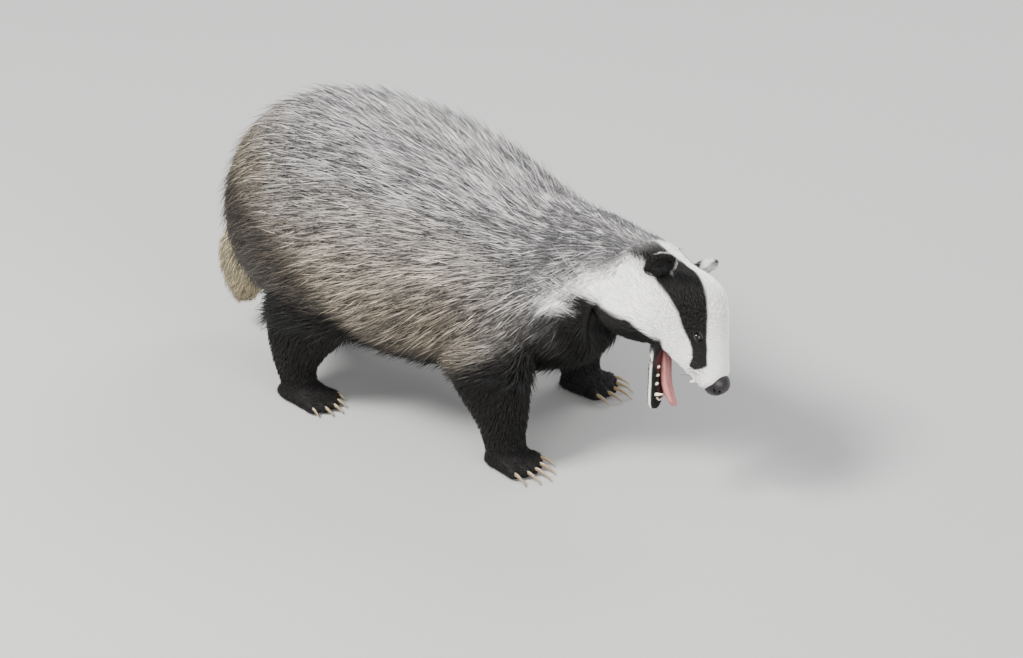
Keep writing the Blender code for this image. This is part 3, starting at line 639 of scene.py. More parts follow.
def in_mouth(points, margin):
    """1 in the hollows of the mouth and that far round them, 0 elsewhere."""
    here = head_places(points)
    width, roof, floor = columns_at(PALATE, here[:, 0], (1, 2, 3))
    middle = (roof + floor) / 2
    upper = np.hypot(here[:, 1] / (width + margin), (here[:, 2] - middle) / (roof - middle + margin)) < 1
    upper &= (here[:, 0] > PALATE[0][0] - margin) & (here[:, 0] < PALATE[-1][0] + margin)
    along, above = jaw_places(here)
    above = above - TROUGH_ABOVE
    half = columns_at(TROUGH, along, (1,))[0] + margin
    lower = np.hypot(here[:, 1] / half, above / (TROUGH_DEEP + margin)) < 1
    lower &= (along > TROUGH[0][0] - margin) & (along < TROUGH[-1][0] + margin)
    return (upper | lower).astype(float)


# Black stripe on the head: place forward, then its lower and upper edge in degrees above the side
STRIPE = (
    (-0.045, -8.0, 40.0), (-0.030, -3.0, 44.0), (-0.018, 6.0, 53.0), (-0.006, 8.0, 69.0),
    (0.010, 9.0, 71.0), (0.028, 13.0, 62.0), (0.047, 14.0, 57.0), (0.063, 9.0, 52.0),
    (0.077, 7.0, 44.0), (0.085, 3.0, 38.0), (0.0925, -6.0, 33.0), (0.098, -26.0, 26.0),
    (0.104, -20.0, 20.0), (0.108, 2.0, 15.0),
)
# White cheek: place forward on the head, and its lower edge in degrees
CHEEK = ((-0.030, -62.0), (0.000, -56.0), (0.028, -42.0), (0.060, -45.0))
# White band on the neck: sections back from the head, then its lower and upper edge in degrees
BAND = (
    (0.0, -48.0, -17.0), (0.5, -36.0, -13.0), (1.0, -25.0, -5.0), (1.5, -18.0, 4.0),
    (2.0, -10.0, 11.0), (2.8, -5.0, 11.0), (3.4, -3.0, 8.0),
)
# White crown behind the ears: sections back from the head, then the degrees where it starts and is full
CROWN = ((0.0, 35.0, 48.0), (0.8, 75.0, 88.0))
# Height under which the body's coat turns black, partly the badger's dark lower coat and partly painted
# shade, raised at haunch and shoulder: x, z
DARK_AND_SHADE_EDGE = (
    (-0.260, 0.256), (-0.180, 0.233), (-0.125, 0.198), (-0.090, 0.160), (-0.050, 0.120),
    (0.000, 0.103), (0.040, 0.108), (0.070, 0.122), (0.100, 0.140), (0.130, 0.166),
    (0.150, 0.192), (0.180, 0.214), (0.220, 0.238),
)


def between(value, low, high, soft):
    """1 where the value lies between the two, with soft edges."""
    return ramp(value, low - soft, low + soft) * ramp(value, high + soft, high - soft)


def by_side(here):
    """What mirrors a place of the head's left side to the side of each point."""
    side = np.where(here[:, 1] < 0, -1.0, 1.0)
    return np.stack((np.ones_like(side), side, np.ones_like(side)), axis=1)


def ear_places(here):
    """Points in the frame of the ear on their side: through its opening, across, up to its tip."""
    folded = here * by_side(here)
    tip, opening = np.array(EAR_TIP), np.array(EAR_OPENING)
    opening = unit(opening - tip * (tip @ opening))
    return (folded - np.array(EAR_PLACE)) @ np.array((opening, np.cross(tip, opening), tip)).T


def face_marks(here, angle):
    """Shares of black stripe and of black throat with the lower jaw, whose lip is white."""
    forward = here[:, 0]
    low, high = columns_at(STRIPE, forward, (1, 2))
    stripe = between(angle, low, high, 2.5) * ramp(forward, 0.1095, 0.1065)
    along, above = jaw_places(here)
    jaw = ramp(above, 0.010, 0.008) * ramp(along, 0.008, 0.016)
    cheek = columns_at(CHEEK, forward, (1,))[0]
    throat = ramp(angle, cheek + 3, cheek - 3) * ramp(forward, 0.068, 0.060)
    lip_line = between(above, -0.0046, -0.0012, 0.0007) * ramp(along, 0.022, 0.034)
    return stripe, np.maximum(throat, jaw) * (1 - jaw * lip_line)


def ear_marks(here):
    """Shares of ear, of its pale rear and rim, and of its hollow."""
    ear = ear_places(here) / np.array(EAR_SIZE)
    on_ear = ramp(np.linalg.norm(ear, axis=1), 1.45, 1.15)
    rim = 0.45 * ramp(0.1 * ear[:, 2] - ear[:, 1], 0.72, 0.95)
    rear = ramp(0.8 * ear[:, 2] - 0.6 * ear[:, 1], -0.02, 0.25) * ramp(ear[:, 0], -0.42, -0.68)
    inside = ramp(np.linalg.norm(ear[:, 1:], axis=1), 0.90, 0.78)
    return on_ear, on_ear * np.maximum(rim, rear), on_ear * ramp(ear[:, 0], -0.45, -0.36) * inside


def marks(points, normals):
    """The coat's markings, with painted shade on the lower flanks, as shares from 0 to 1, from the place on
    the body alone.
    """
    here = head_places(points)
    place, across, rise = spine_places(points)
    x, z = points[:, 0], points[:, 2]
    out = np.hypot(here[:, 1], here[:, 2])
    head = ramp(here[:, 0], -0.040, -0.024) * ramp(out, 0.120, 0.105) * ramp(here[:, 2], -0.110, -0.095)
    angle = np.degrees(np.arctan2(here[:, 2], np.abs(here[:, 1])))
    stripe, throat = face_marks(here, angle)
    ear, ear_tip, ear_hollow = ear_marks(here)
    side_angle = np.degrees(np.arctan2(rise, np.abs(across)))
    back = NECK_END - place
    low, high = columns_at(BAND, back, (1, 2))
    band = between(side_angle, low, high, 3.0) * ramp(back, 3.9, 3.2) * ramp(z, 0.163, 0.178)
    crown = ramp(side_angle, *columns_at(CROWN, back, (1, 2))) * ramp(back, 1.2, 0.6)
    nape = between(side_angle, -10.0, 44.0, 8.0) * ramp(back, 1.3, 0.2)
    leg = on_leg(points)
    under = ramp(normals[:, 2], -0.35, -0.75) * ramp(z, 0.16, 0.12)
    # Dark lower coat, its edge raised at haunch and shoulder as painted shade
    edge = columns_at(DARK_AND_SHADE_EDGE, x, (1,))[0]
    low_coat_and_shade = ramp(z, edge + 0.030, edge - 0.022) * mix(0.88, 1.0, ramp(z, 0.160, 0.120))
    chest = ramp(side_angle, low + 1, low - 5) * ramp(x, 0.135, 0.175)
    below = np.maximum.reduce([chest, low_coat_and_shade, nape * 0.6]) * (1 - band) * (1 - crown)
    return {"head": head, "stripe": stripe, "throat": throat, "band": band, "crown": crown,
            "dark": np.maximum.reduce([leg, under, below]), "leg": leg, "tail": on_tail(points),
            "place": place, "rise": side_angle, "here": here, "angle": angle,
            "ear": ear, "ear_tip": ear_tip, "ear_hollow": ear_hollow,
            "mouth": in_mouth(points, LINING_MARGIN), "lip": in_mouth(points, LIP_MARGIN)}


# Settings

class BadgerCoat(bpy.types.PropertyGroup):
    """Lengths, numbers and colours of the hair"""
    body_depth: length(0.011, "Body depth", "How deep the skin of the body lies under the tips of the hair")
    leg_depth: length(0.0045, "Leg depth", "How deep the skin of the legs lies under the tips of the hair")
    head_depth: length(0.0024, "Head depth", "How deep the skin of the cheeks and crown lies under the hair")
    muzzle_depth: length(0.0008, "Muzzle depth", "How deep the skin of the muzzle lies under the hair")
    body_hair: length(0.044, "Body hair", "Length of the guard hair on the back and flanks")
    neck_hair: length(0.021, "Neck hair", "Length of the hair on the neck")
    head_hair: length(0.0095, "Head hair", "Length of the hair on the crown and cheeks")
    leg_hair: length(0.019, "Leg hair", "Length of the hair on the upper legs")
    tail_hair: length(0.050, "Tail hair", "Length of the hair of the tail")
    body_tufts: IntProperty(name="Body tufts", description="Tufts on trunk and neck", default=88000)
    head_tufts: IntProperty(name="Head tufts", description="Tufts on head and lower jaw", default=34000)
    leg_tufts: IntProperty(name="Leg tufts", description="Tufts on legs and feet", default=18000)
    tail_tufts: IntProperty(name="Tail tufts", description="Tufts of the tail", default=5000)
    pale: colour("#D6D2CF", "Pale", "Pale root and tip of the guard hair")
    buff: colour("#BFA985", "Buff", "Warm tone of flank and hind hair")
    band: colour("#1B1A1E", "Band", "Dark band of the guard hair")
    white: colour("#F7F5EF", "White", "White of the face")
    black: colour("#14110F", "Black", "Black of stripe, throat and legs")
    tail: colour("#C8BA98", "Tail", "Pale hair of the tail")


class BadgerFace(bpy.types.PropertyGroup):
    """Colours of bare skin, eyes, teeth, claws and whiskers"""
    lining: colour("#3C1A1A", "Mouth lining", "Moist lining of palate and jaw")
    tongue: colour("#AE7973", "Tongue", "Upper face of the tongue")
    tongue_deep: colour("#914F50", "Deep tongue", "Redder patches of the tongue")
    nose: colour("#1C1618", "Nose", "Bare skin of the nose pad")
    iris: colour("#120A07", "Iris", "Dark brown of the eye")
    lid: colour("#100D0B", "Lid", "Bare skin of the lids")
    tooth: colour("#E4DAC0", "Tooth", "Enamel")
    claw: colour("#6E5C46", "Claw", "Darker horn of the claws")
    claw_pale: colour("#A08C6C", "Pale claw", "Paler horn of the claws")
    whisker: colour("#3A332E", "Whisker", "Whiskers of the muzzle")


class BadgerStage(bpy.types.PropertyGroup):
    """Colours and light of the stage"""
    floor: colour("#A09F9C", "Floor", "Pale floor")
    sky: colour("#DCE2EA", "Sky", "Soft light from all sides")
    strength: FloatProperty(name="Sky strength", description="Strength of the light from all sides",
                            default=1.08)


def coat_settings():
    """The settings of the coat."""
    return bpy.context.scene.badger_coat


def face_settings():
    """The settings of the face and claws."""
    return bpy.context.scene.badger_face


def warmth(points, found):
    """1 where flank and rump turn buff, 0 on the cool grey back."""
    flank = ramp(found["rise"], 62.0, -10.0) * ramp(points[:, 0], 0.17, 0.04)
    return np.maximum(flank * 0.95, ramp(points[:, 0], -0.12, -0.22) * ramp(points[:, 2], 0.33, 0.27))


def ground_colour(points, found):
    """Mean colour of the coat at each point, by the markings, with painted shade in a darker black on the
    lower parts.
    """
    coat = coat_settings()
    pale, buff, band, white, black, tail = (np.array(value) for value in (
        coat.pale, coat.buff, coat.band, coat.white, coat.black, coat.tail))
    grey = mix(pale, band, 0.62)
    warm = warmth(points, found)[:, None]
    shade = mix(grey, mix(buff, band, 0.35), 0.65 * warm)
    # The dark lower coat, chest and legs take a darker black than the stripe, partly as painted shade
    shade = mix(shade, black * 0.75, found["dark"][:, None])
    shade = mix(shade, white, np.maximum(found["band"], found["crown"] * 0.7)[:, None])
    face = mix(white, black, found["stripe"][:, None])
    # Throat and ears take the same darker black; at the throat it is painted shade under the jaw
    face = mix(face, black * 0.75, np.maximum(found["throat"], found["ear"])[:, None])
    face = mix(face, white, (found["ear_tip"] * (1 - found["ear_hollow"]))[:, None])
    face = mix(face, black * 2.0, (found["lip"] * 0.8)[:, None])
    shade = mix(shade, face, found["head"][:, None])
    return mix(shade, tail, found["tail"][:, None])


# Materials

def new_material(name):
    """An empty material with its tree and shader."""
    material = bpy.data.materials.new(name)
    material.use_nodes = True
    tree = material.node_tree
    return material, tree, tree.nodes["Principled BSDF"]


def add(tree, kind, links=(), **settings):
    """A node with its settings; a link gives the input's name and the socket that feeds it."""
    node = tree.nodes.new(kind)
    for key, value in settings.items():
        if key in node.bl_rna.properties:
            setattr(node, key, value)
        else:
            node.inputs[key.replace("_", " ")].default_value = value
    for target, socket in links:
        tree.links.new(node.inputs[target], socket)
    return node


def set_shader(shader, **values):
    """Numbers and colours that are the same all over the surface, on the shader's own sockets."""
    for key, value in values.items():
        shader.inputs[key.replace("_", " ")].default_value = value


def per_metre(millimetres):
    """Scale of a pattern whose grains lie that far apart."""
    return 1000.0 / millimetres


def relief(tree, shader, kind, height, spacing, strength, depth, **settings):
    """A pattern fixed to the piece that raises its surface: spacing in millimetres, depth in metres."""
    place = add(tree, "ShaderNodeTexCoord")
    pattern = add(tree, kind, [("Vector", place.outputs["Object"])], Scale=per_metre(spacing), **settings)
    bump = add(tree, "ShaderNodeBump", [("Height", pattern.outputs[height])], Strength=strength,
               Distance=depth)
    tree.links.new(shader.inputs["Normal"], bump.outputs["Normal"])


def patches(tree, shader, first, second, spacing, detail):
    """Cloudy patches fixed to the piece between two colours: spacing in millimetres."""
    place = add(tree, "ShaderNodeTexCoord")
    noise = add(tree, "ShaderNodeTexNoise", [("Vector", place.outputs["Object"])],
                Scale=per_metre(spacing), Detail=detail)
    tone = add(tree, "ShaderNodeMix", [("Factor", noise.outputs["Fac"])], data_type="RGBA")
    tone.inputs["A"].default_value = (*first, 1.0)
    tone.inputs["B"].default_value = (*second, 1.0)
    tree.links.new(shader.inputs["Base Color"], tone.outputs["Result"])


def skin_material():
    """Tanned skin under the fur: dull and pored, in the coat's colours, so no bare ground shows."""
    material, tree, shader = new_material("skin under fur")
    relief(tree, shader, "ShaderNodeTexNoise", "Fac", 1.11, 0.5, 0.0006, Detail=3.0)
    shade = add(tree, "ShaderNodeAttribute", attribute_name="coat_colour")
    tree.links.new(shader.inputs["Base Color"], shade.outputs["Color"])
    set_shader(shader, Roughness=0.75, Specular_IOR_Level=0.25)
    return material


def hair_material():
    """Coarse guard hair: a soft sheen along each tuft, its colour from root to tip in the mesh."""
    material, tree, shader = new_material("badger hair")
    shade = add(tree, "ShaderNodeAttribute", attribute_name="coat_colour")
    tree.links.new(shader.inputs["Base Color"], shade.outputs["Color"])
    set_shader(shader, Roughness=0.55, Specular_IOR_Level=0.30)
    return material


def eye_material(face):
    """Wet cornea over a dark brown iris: near black, with small sharp glints of the lamps."""
    material, _, shader = new_material("dark wet eye")
    set_shader(shader, Base_Color=(*face.iris, 1.0), Roughness=0.08, IOR=1.376)
    return material


def lid_material(face):
    """Bare black lid skin: dull and finely folded, a quiet rim round the gloss of the eye."""
    material, tree, shader = new_material("black lid skin")
    relief(tree, shader, "ShaderNodeTexNoise", "Fac", 0.714, 0.4, 0.0003, Detail=2.0)
    set_shader(shader, Base_Color=(*face.lid, 1.0), Roughness=0.6, IOR=1.4)
    return material


def nose_material():
    """Moist bare nose skin: pebbles under a thin wet film, which spread the gleam."""
    material, tree, shader = new_material("moist nose pad")
    relief(tree, shader, "ShaderNodeTexVoronoi", "Distance", 0.91, 0.45, 0.0003)
    shade = add(tree, "ShaderNodeAttribute", attribute_name="coat_colour")
    tree.links.new(shader.inputs["Base Color"], shade.outputs["Color"])
    set_shader(shader, Roughness=0.42, IOR=1.4, Coat_Weight=0.08, Coat_Roughness=0.25)
    return material


def tongue_material(face):
    """Wet flesh: redder patches, fine papillae, and light that goes a little way in."""
    material, tree, shader = new_material("moist tongue")
    patches(tree, shader, face.tongue, face.tongue_deep, 8.33, 2.0)
    relief(tree, shader, "ShaderNodeTexVoronoi", "Distance", 0.625, 0.35, 0.0003)
    set_shader(shader, Roughness=0.32, IOR=1.4, Subsurface_Weight=0.25, Subsurface_Scale=0.002)
    return material


def enamel_material(face):
    """Tooth enamel: smooth, creamy and faintly clear, so the tips look lighter than the roots."""
    material, _, shader = new_material("tooth enamel")
    set_shader(shader, Base_Color=(*face.tooth, 1.0), Roughness=0.25, IOR=1.62, Subsurface_Weight=0.15,
               Subsurface_Scale=0.001)
    return material


def horn_material(face):
    """Worn horn: a satin gleam, clouded with pale and dark."""
    material, tree, shader = new_material("horn of claws")
    patches(tree, shader, face.claw, face.claw_pale, 3.85, 3.0)
    set_shader(shader, Roughness=0.35, IOR=1.54)
    return material


def floor_material(stage):
    """Matt painted board: even and without gleam, so that only the shadow shows on it."""
    material, _, shader = new_material("pale floor")
    set_shader(shader, Base_Color=(*stage.floor, 1.0), Roughness=0.9)
    return material


class OBJECT_OT_badger_skin(bpy.types.Operator):
    """One skin over trunk, neck, head, lower jaw, legs, feet and tail"""
    bl_idname = "object.badger_skin"
    bl_label = "Skin"

    def execute(self, context):
        coat = coat_settings()
        skin = joined([self.body_skin(coat), self.head_skin(coat)], "skin")
        skin.data.materials.clear()
        skin.data.materials.append(skin_material())
        skin.data.shade_smooth()
        context.view_layer.objects.active = skin
        skin.select_set(True)
        skin.data.uv_layers.new(name="OFBake")
        bpy.ops.object.mode_set(mode="EDIT")
        bpy.ops.mesh.select_all(action="SELECT")
        bpy.ops.uv.smart_project(angle_limit=math.radians(70.0), island_margin=0.001)
        bpy.ops.object.mode_set(mode="OBJECT")
        points, normals, _, _ = mesh_arrays(skin.data)
        if len(points) < SKIN_POINTS:
            raise RuntimeError("the skin came out too coarse to carry the coat")
        found = marks(points, normals)
        # The skin carries the coat's colours, darkened as painted shade under the hair
        shade = ground_colour(points, found) * SKIN_PAINTED_SHADE
        lining = np.array(face_settings().lining)
        paint(skin.data, mix(shade, lining, found["mouth"][:, None]))
        stands_in(skin, "body_coat", "torso", "neck", "head", "lower_jaw", "tail", "ear_right", "ear_left",
                  *LEGS)
        return {"FINISHED"}

    def body_skin(self, coat):
        """Trunk, tail and legs on one surface, with the fold of the nape smoothed out."""
        forms = [trunk_form(coat.body_depth), tail_form(TAIL_DEPTH)]
        for name, rows in LEGS.items():
            forms.append(leg_form(rows, coat.leg_depth))
            forms.extend(foot_forms(name))
        nape = (trunk_form(coat.body_depth), head_form(coat.head_depth, coat.muzzle_depth, 3.0))
        fold = joined([new_object("form", *form) for form in nape], "fold")
        remeshed(fold, *NAPE_EVEN)
        body = joined([new_object("form", *form) for form in forms] + [fold], "body")
        return remeshed(body, *BODY_EVEN)

    def head_skin(self, coat):
        """Skull with the mouth and eye sockets cut out, open lower jaw, and ears."""
        skull = new_object("skull", *head_form(coat.head_depth, coat.muzzle_depth))
        jaw = new_object("jaw", *jaw_form(coat.muzzle_depth * JAW_DEPTH))
        socket = (EYE_RADIUS + SOCKET_GAP,) * 3
        sockets = [new_object("socket", *ball(eye_middle(side), HEAD_AXES, socket)) for side in (-1, 1)]
        cut_away(skull, [new_object("palate", *palate_form()), *sockets])
        cut_away(jaw, [new_object("trough", *trough_form())])
        ears = []
        for side in (-1, 1):
            middle, axes = ear_frame(side)
            ear = new_object("ear", *ball(middle, axes, np.array(EAR_SIZE) - EAR_DEPTH))
            middle = middle + axes[0] * EAR_HOLLOW_AHEAD + axes[2] * EAR_HOLLOW_UP
            ears.append(cut_away(ear, [new_object("hollow", *ball(middle, axes, EAR_HOLLOW))]))
            foot = middle - axes[0] * EAR_FOOT_BACK - axes[2] * EAR_FOOT_DOWN
            ears.append(new_object("ear_foot", *ball(foot, axes, EAR_FOOT)))
        head = joined([skull, jaw, *ears], "head_skin")
        return remeshed(head, *HEAD_EVEN)


# Coat

# Length of the hair, and how high its tips stand, where the settings' lengths fade out
MUZZLE_HAIR, EAR_HAIR, FOOT_HAIR = 0.0032, 0.0075, 0.0065
NECK_RISE, MUZZLE_RISE, EAR_RISE, FOOT_RISE = 0.0042, 0.0009, 0.0028, 0.0016
TAIL_RISE = (0.008, 0.020)
# Lowest point of the tail's hair
TAIL_FLOOR = 0.036
# Width of the tufts
BODY_WIDTH, TAIL_WIDTH = (0.0009, 0.0016), (0.0012, 0.0021)
CROWN_WIDTH, MUZZLE_WIDTH, LEG_WIDTH, FOOT_WIDTH = 0.0011, 0.0006, 0.0015, 0.0009
WHISKER_WIDTH, WHISKERS = 0.00035, 44
# How far the lie of a tuft strays to the side, in radians
BODY_STRAY, HEAD_STRAY, LEG_STRAY, TAIL_STRAY = 0.16, 0.14, 0.18, 0.12
# Share of the tufts that others gather round into a lock
BODY_LOCKS, HEAD_LOCKS, LEG_LOCKS, TAIL_LOCKS = 0.13, 0.12, 0.08, 0.05
# Start of each piece's random draws
BODY_SEED, HEAD_SEED, LEG_SEED, TAIL_SEED, WHISKER_SEED = 1, 2, 3, 4, 9
# How deep a tuft's root sits in the skin, and how its middle line rises to the tip
ROOT_DEPTH, RISE_CURVE = 0.0008, 0.8
# Width of a tuft at each ring, for two and three rings, and the corners of a ring: across and up
TAPER = {2: (0.9, 0.8), 3: (0.75, 1.0, 0.78)}
RING = ((1.0, 0.0), (-1.0, 0.0), (0.0, 0.8))

# What the coat needs of the finished skin, worked out once
_skin = {}


def skin_data():
    """Arrays, search tree and markings of the finished skin."""
    if not _skin:
        if "skin" not in bpy.data.objects:
            raise RuntimeError("the skin has to be made before the coat")
        points, normals, corners, places = mesh_arrays(bpy.data.objects["skin"].data)
        _skin.update(points=points, normals=normals, corners=corners, places=places,
                     tree=BVHTree.FromPolygons(points.tolist(), corners.tolist()),
                     found=marks(points, normals))
    return _skin


def scatter(weight, count, seed):
    """Roots spread over the skin by area and weight: point, normal and place on the map."""
    skin = skin_data()
    draw = np.random.default_rng(seed)
    corners = skin["corners"]
    first, second, third = (skin["points"][corners[:, k]] for k in range(3))
    area = np.linalg.norm(np.cross(second - first, third - first), axis=1) * weight[corners].mean(axis=1)
    heap = np.cumsum(area)
    pick = np.searchsorted(heap, (np.arange(count) + draw.random(count)) / count * heap[-1])
    pick = np.minimum(pick, len(corners) - 1)
    share = draw.random((count, 2))
    over = share.sum(axis=1) > 1
    share[over] = 1 - share[over]
    share = np.column_stack((1 - share.sum(axis=1), share))[:, :, None]
    roots = (skin["points"][corners[pick]] * share).sum(axis=1)
    normals = unit((skin["normals"][corners[pick]] * share).sum(axis=1))
    return roots, normals, (skin["places"][pick] * share).sum(axis=1), draw


def on_skin(points):
    """Nearest point and normal of the skin for each point."""
    tree = skin_data()["tree"]
    found = [tree.find_nearest(point)[:2] for point in points.tolist()]
    return np.array([hit[0] for hit in found]), np.array([hit[1] for hit in found])


def strands(roots, normals, lie, reach, rise, steps, droop=0.0):
    """Middle line and normals of each tuft, laid along the skin and rising to its tip."""
    lines, ups = [roots - normals * ROOT_DEPTH], [normals]
    spot, normal = roots, normals
    for step in range(1, steps + 1):
        flat = unit(lie - normal * (lie * normal).sum(axis=1, keepdims=True))
        spot, turned = on_skin(spot + flat * (reach / steps)[:, None])
        normal = unit(normal * 0.5 + turned)
        lifted = spot + normal * (rise * (step / steps) ** RISE_CURVE)[:, None]
        lifted[:, 2] -= droop * reach * (step / steps) ** 2
        lines.append(lifted)
        ups.append(normal)
    return np.array(lines), np.array(ups)


def gather(lines, roots, spacing, pull, draw):
    """Draw the tips of neighbouring tufts together into locks, and give the lock of each."""
    middles = roots[draw.random(len(roots)) < spacing]
    tree = KDTree(len(middles))
    for index, middle in enumerate(middles.tolist()):
        tree.insert(middle, index)
    tree.balance()
    own = np.array([tree.find(root)[1] for root in roots.tolist()])
    last = len(lines) - 1
    for step in range(1, last + 1):
        lines[step] += (middles[own] - roots) * (pull * (step / last) ** 1.5)[:, None]
    return own


def blade_faces(rings):
    """Triangles of one closed tuft with that many rings of three points and a tip."""
    faces = [(0, 2, 1)]
    for ring in range(rings - 1):
        low, high = 3 * ring, 3 * ring + 3
        for corner in range(3):
            nxt = (corner + 1) % 3
            faces.append((low + corner, low + nxt, high + nxt))
            faces.append((low + corner, high + nxt, high + corner))
    low = 3 * rings - 3
    for corner in range(3):
        faces.append((low + corner, low + (corner + 1) % 3, 3 * rings))
    return np.array(faces, np.int32)


def blades(name, lines, ups, width, shades, places, slot):
    """Pieces of closed, tapered, three-sided tufts, split where one would hold too many triangles."""
    rings, count = lines.shape[0] - 1, lines.shape[1]
    along = unit(np.gradient(lines, axis=0))
    side = unit(np.cross(ups, along))
    up = np.cross(along, side)
    points = np.empty((count, 3 * rings + 1, 3), np.float32)
    tints = np.ones((count, 3 * rings + 1, 4), np.float32)
    spots = np.empty((3 * rings + 1, 2), np.float32)
    for ring in range(rings):
        half = (width * TAPER[rings][ring] / 2)[:, None]
        for corner, (across, high) in enumerate(RING):
            off = side[ring] * half * across
            points[:, 3 * ring + corner] = lines[ring] + off + up[ring] * half * high
            tints[:, 3 * ring + corner, :3] = shades[ring]
            spots[3 * ring + corner] = (across * 0.4, ring / rings - 0.5)
    points[:, -1] = lines[-1]
    tints[:, -1, :3] = shades[-1]
    spots[-1] = (0.0, 0.5)
    faces = blade_faces(rings)
    groups = max(1, math.ceil(count / (PIECE_LIMIT // len(faces))))
    order = np.argsort(lines[0][:, 0], kind="stable")
    material = bpy.data.materials.get("badger hair") or hair_material()
    for index, part in enumerate(np.array_split(order, groups)):
        number = len(part)
        mesh = bpy.data.meshes.new(f"{name}_{index + 1}")
        mesh.vertices.add(number * points.shape[1])
        mesh.vertices.foreach_set("co", (points[part] + np.array(SHIFT, np.float32)).ravel())
        whole = (faces[None] + (np.arange(number) * points.shape[1])[:, None, None]).reshape(-1, 3)
        mesh.loops.add(whole.size)
        mesh.loops.foreach_set("vertex_index", whole.ravel().astype(np.int32))
        mesh.polygons.add(len(whole))
        mesh.polygons.foreach_set("loop_start", np.arange(0, whole.size, 3, dtype=np.int32))
        mesh.update(calc_edges=True)
        mesh.shade_smooth()
        layer = mesh.uv_layers.new(name="OFBake")
        spot = places[part][:, None, :] + spots[None] * PATCH
        layer.data.foreach_set("uv", spot.reshape(-1, 2)[whole.ravel()].astype(np.float32).ravel())
        tint = mesh.color_attributes.new("coat_colour", "FLOAT_COLOR", "POINT")
        tint.data.foreach_set("color", tints[part].ravel())
        mesh.materials.append(material)
        thing = bpy.data.objects.new(mesh.name, mesh)
        bpy.context.scene.collection.objects.link(thing)
        stands_in(thing, slot)


def swung(lie, normals, angle):
    """The lie turned about the normal by an angle for each tuft."""
    flat = unit(lie - normals * (lie * normals).sum(axis=1, keepdims=True))
    return flat * np.cos(angle)[:, None] + np.cross(normals, flat) * np.sin(angle)[:, None]


class OBJECT_OT_badger_body_coat(bpy.types.Operator):
    """Long grizzled guard hair of trunk and neck"""
    bl_idname = "object.badger_body_coat"
    bl_label = "Body coat"

    def execute(self, context):
        coat = coat_settings()
        found = skin_data()["found"]
        weight = (1 - found["head"]) * (1 - found["tail"]) * (1 - ramp(found["leg"], 0.3, 0.7))
        weight = weight * mix(1.0, 1.5, ramp(found["place"], NECK_START, NECK_END))
        roots, normals, places, draw = scatter(weight, coat.body_tufts, BODY_SEED)
        count = len(roots)
        here = marks(roots, normals)
        behind, ahead = (spine_frames(here["place"] + step)[0][:, :3] for step in (-0.1, 0.1))
        back = unit(behind - ahead)
        rump = ramp(roots[:, 0], -0.140, -0.235)
        down = mix(mix(0.30, 0.50, ramp(here["rise"], 30.0, -20.0)), 1.7, rump * rump)
        lie = back - np.array((0.0, 0.0, 1.0)) * down[:, None]
        lie = swung(lie, normals, draw.normal(0.0, BODY_STRAY, count))
        neck = ramp(here["place"], NECK_START - 2.0, NECK_END - 1.0)
        reach = mix(coat.body_hair, coat.neck_hair, neck)
        reach = reach * mix(1.0, 0.62, np.maximum(ramp(normals[:, 2], -0.5, -0.9), here["leg"]))
        reach = reach * draw.uniform(0.72, 1.15, count)
        rise = mix(coat.body_depth, NECK_RISE, neck) * draw.uniform(0.75, 1.25, count)
        rise = rise * np.where(draw.random(count) < 0.10, 1.6, 1.0)
        lines, ups = strands(roots, normals, lie, reach, rise, 2, 0.04)
        own = gather(lines, roots, BODY_LOCKS, draw.uniform(0.15, 0.55, count), draw)
        shades = self.shades(coat, lines, own, draw)
        width = draw.uniform(*BODY_WIDTH, count) * mix(1.0, 0.75, neck)
        blades("coat_body", lines, ups, width, shades, places, "body_coat")
        return {"FINISHED"}

    def shades(self, coat, lines, own, draw):
        """Colour of each tuft at root, dark band and tip, by the markings under each of the three."""
        count = lines.shape[1]
        stray = draw.normal(0.0, 0.003, (count, 3))
        pale, buff, band = (np.array(value) for value in (coat.pale, coat.buff, coat.band))
        here = marks(*on_skin(lines[1] + stray))
        warm = warmth(lines[1], here)
        share = mix(0.54, 0.45, warm) + 0.20 * ramp(here["place"], NECK_START - 1.5, NECK_START + 1.0)
        lock = draw.random(own.max() + 1)[own]
        dark = (mix(draw.random(count), lock, draw.random(count) < 0.55) < share)[:, None]
        deep = np.where(dark, draw.uniform(0.8, 1.0, (count, 1)), draw.uniform(0.10, 0.75, (count, 1)))
        tip = np.where(dark, draw.uniform(0.6, 1.0, (count, 1)), draw.uniform(0.0, 0.25, (count, 1)))
        rough = draw.uniform(0.8, 1.2, (count, 1)) * draw.uniform(0.8, 1.2, (own.max() + 1, 1))[own]
        even = draw.uniform(0.94, 1.06, (count, 1))
        light = mix(pale, mix(pale, buff, 0.72), warm[:, None])
        shades = []
        for line, part in zip(lines, (0.35, deep, tip)):
            here = marks(*on_skin(line + stray))
            plain = np.maximum.reduce([here["dark"], here["band"], here["crown"] * 0.6])[:, None]
            shade = mix(mix(light, band, part), ground_colour(line, here), plain)
            shades.append(np.clip(shade * mix(rough, even, here["band"][:, None]), 0, 1))
        return shades


def turned_like_ears(here):
    """Direction from root to tip of the ear on each point's side."""
    return np.array(EAR_TIP)[None, :] * by_side(here) @ HEAD_AXES


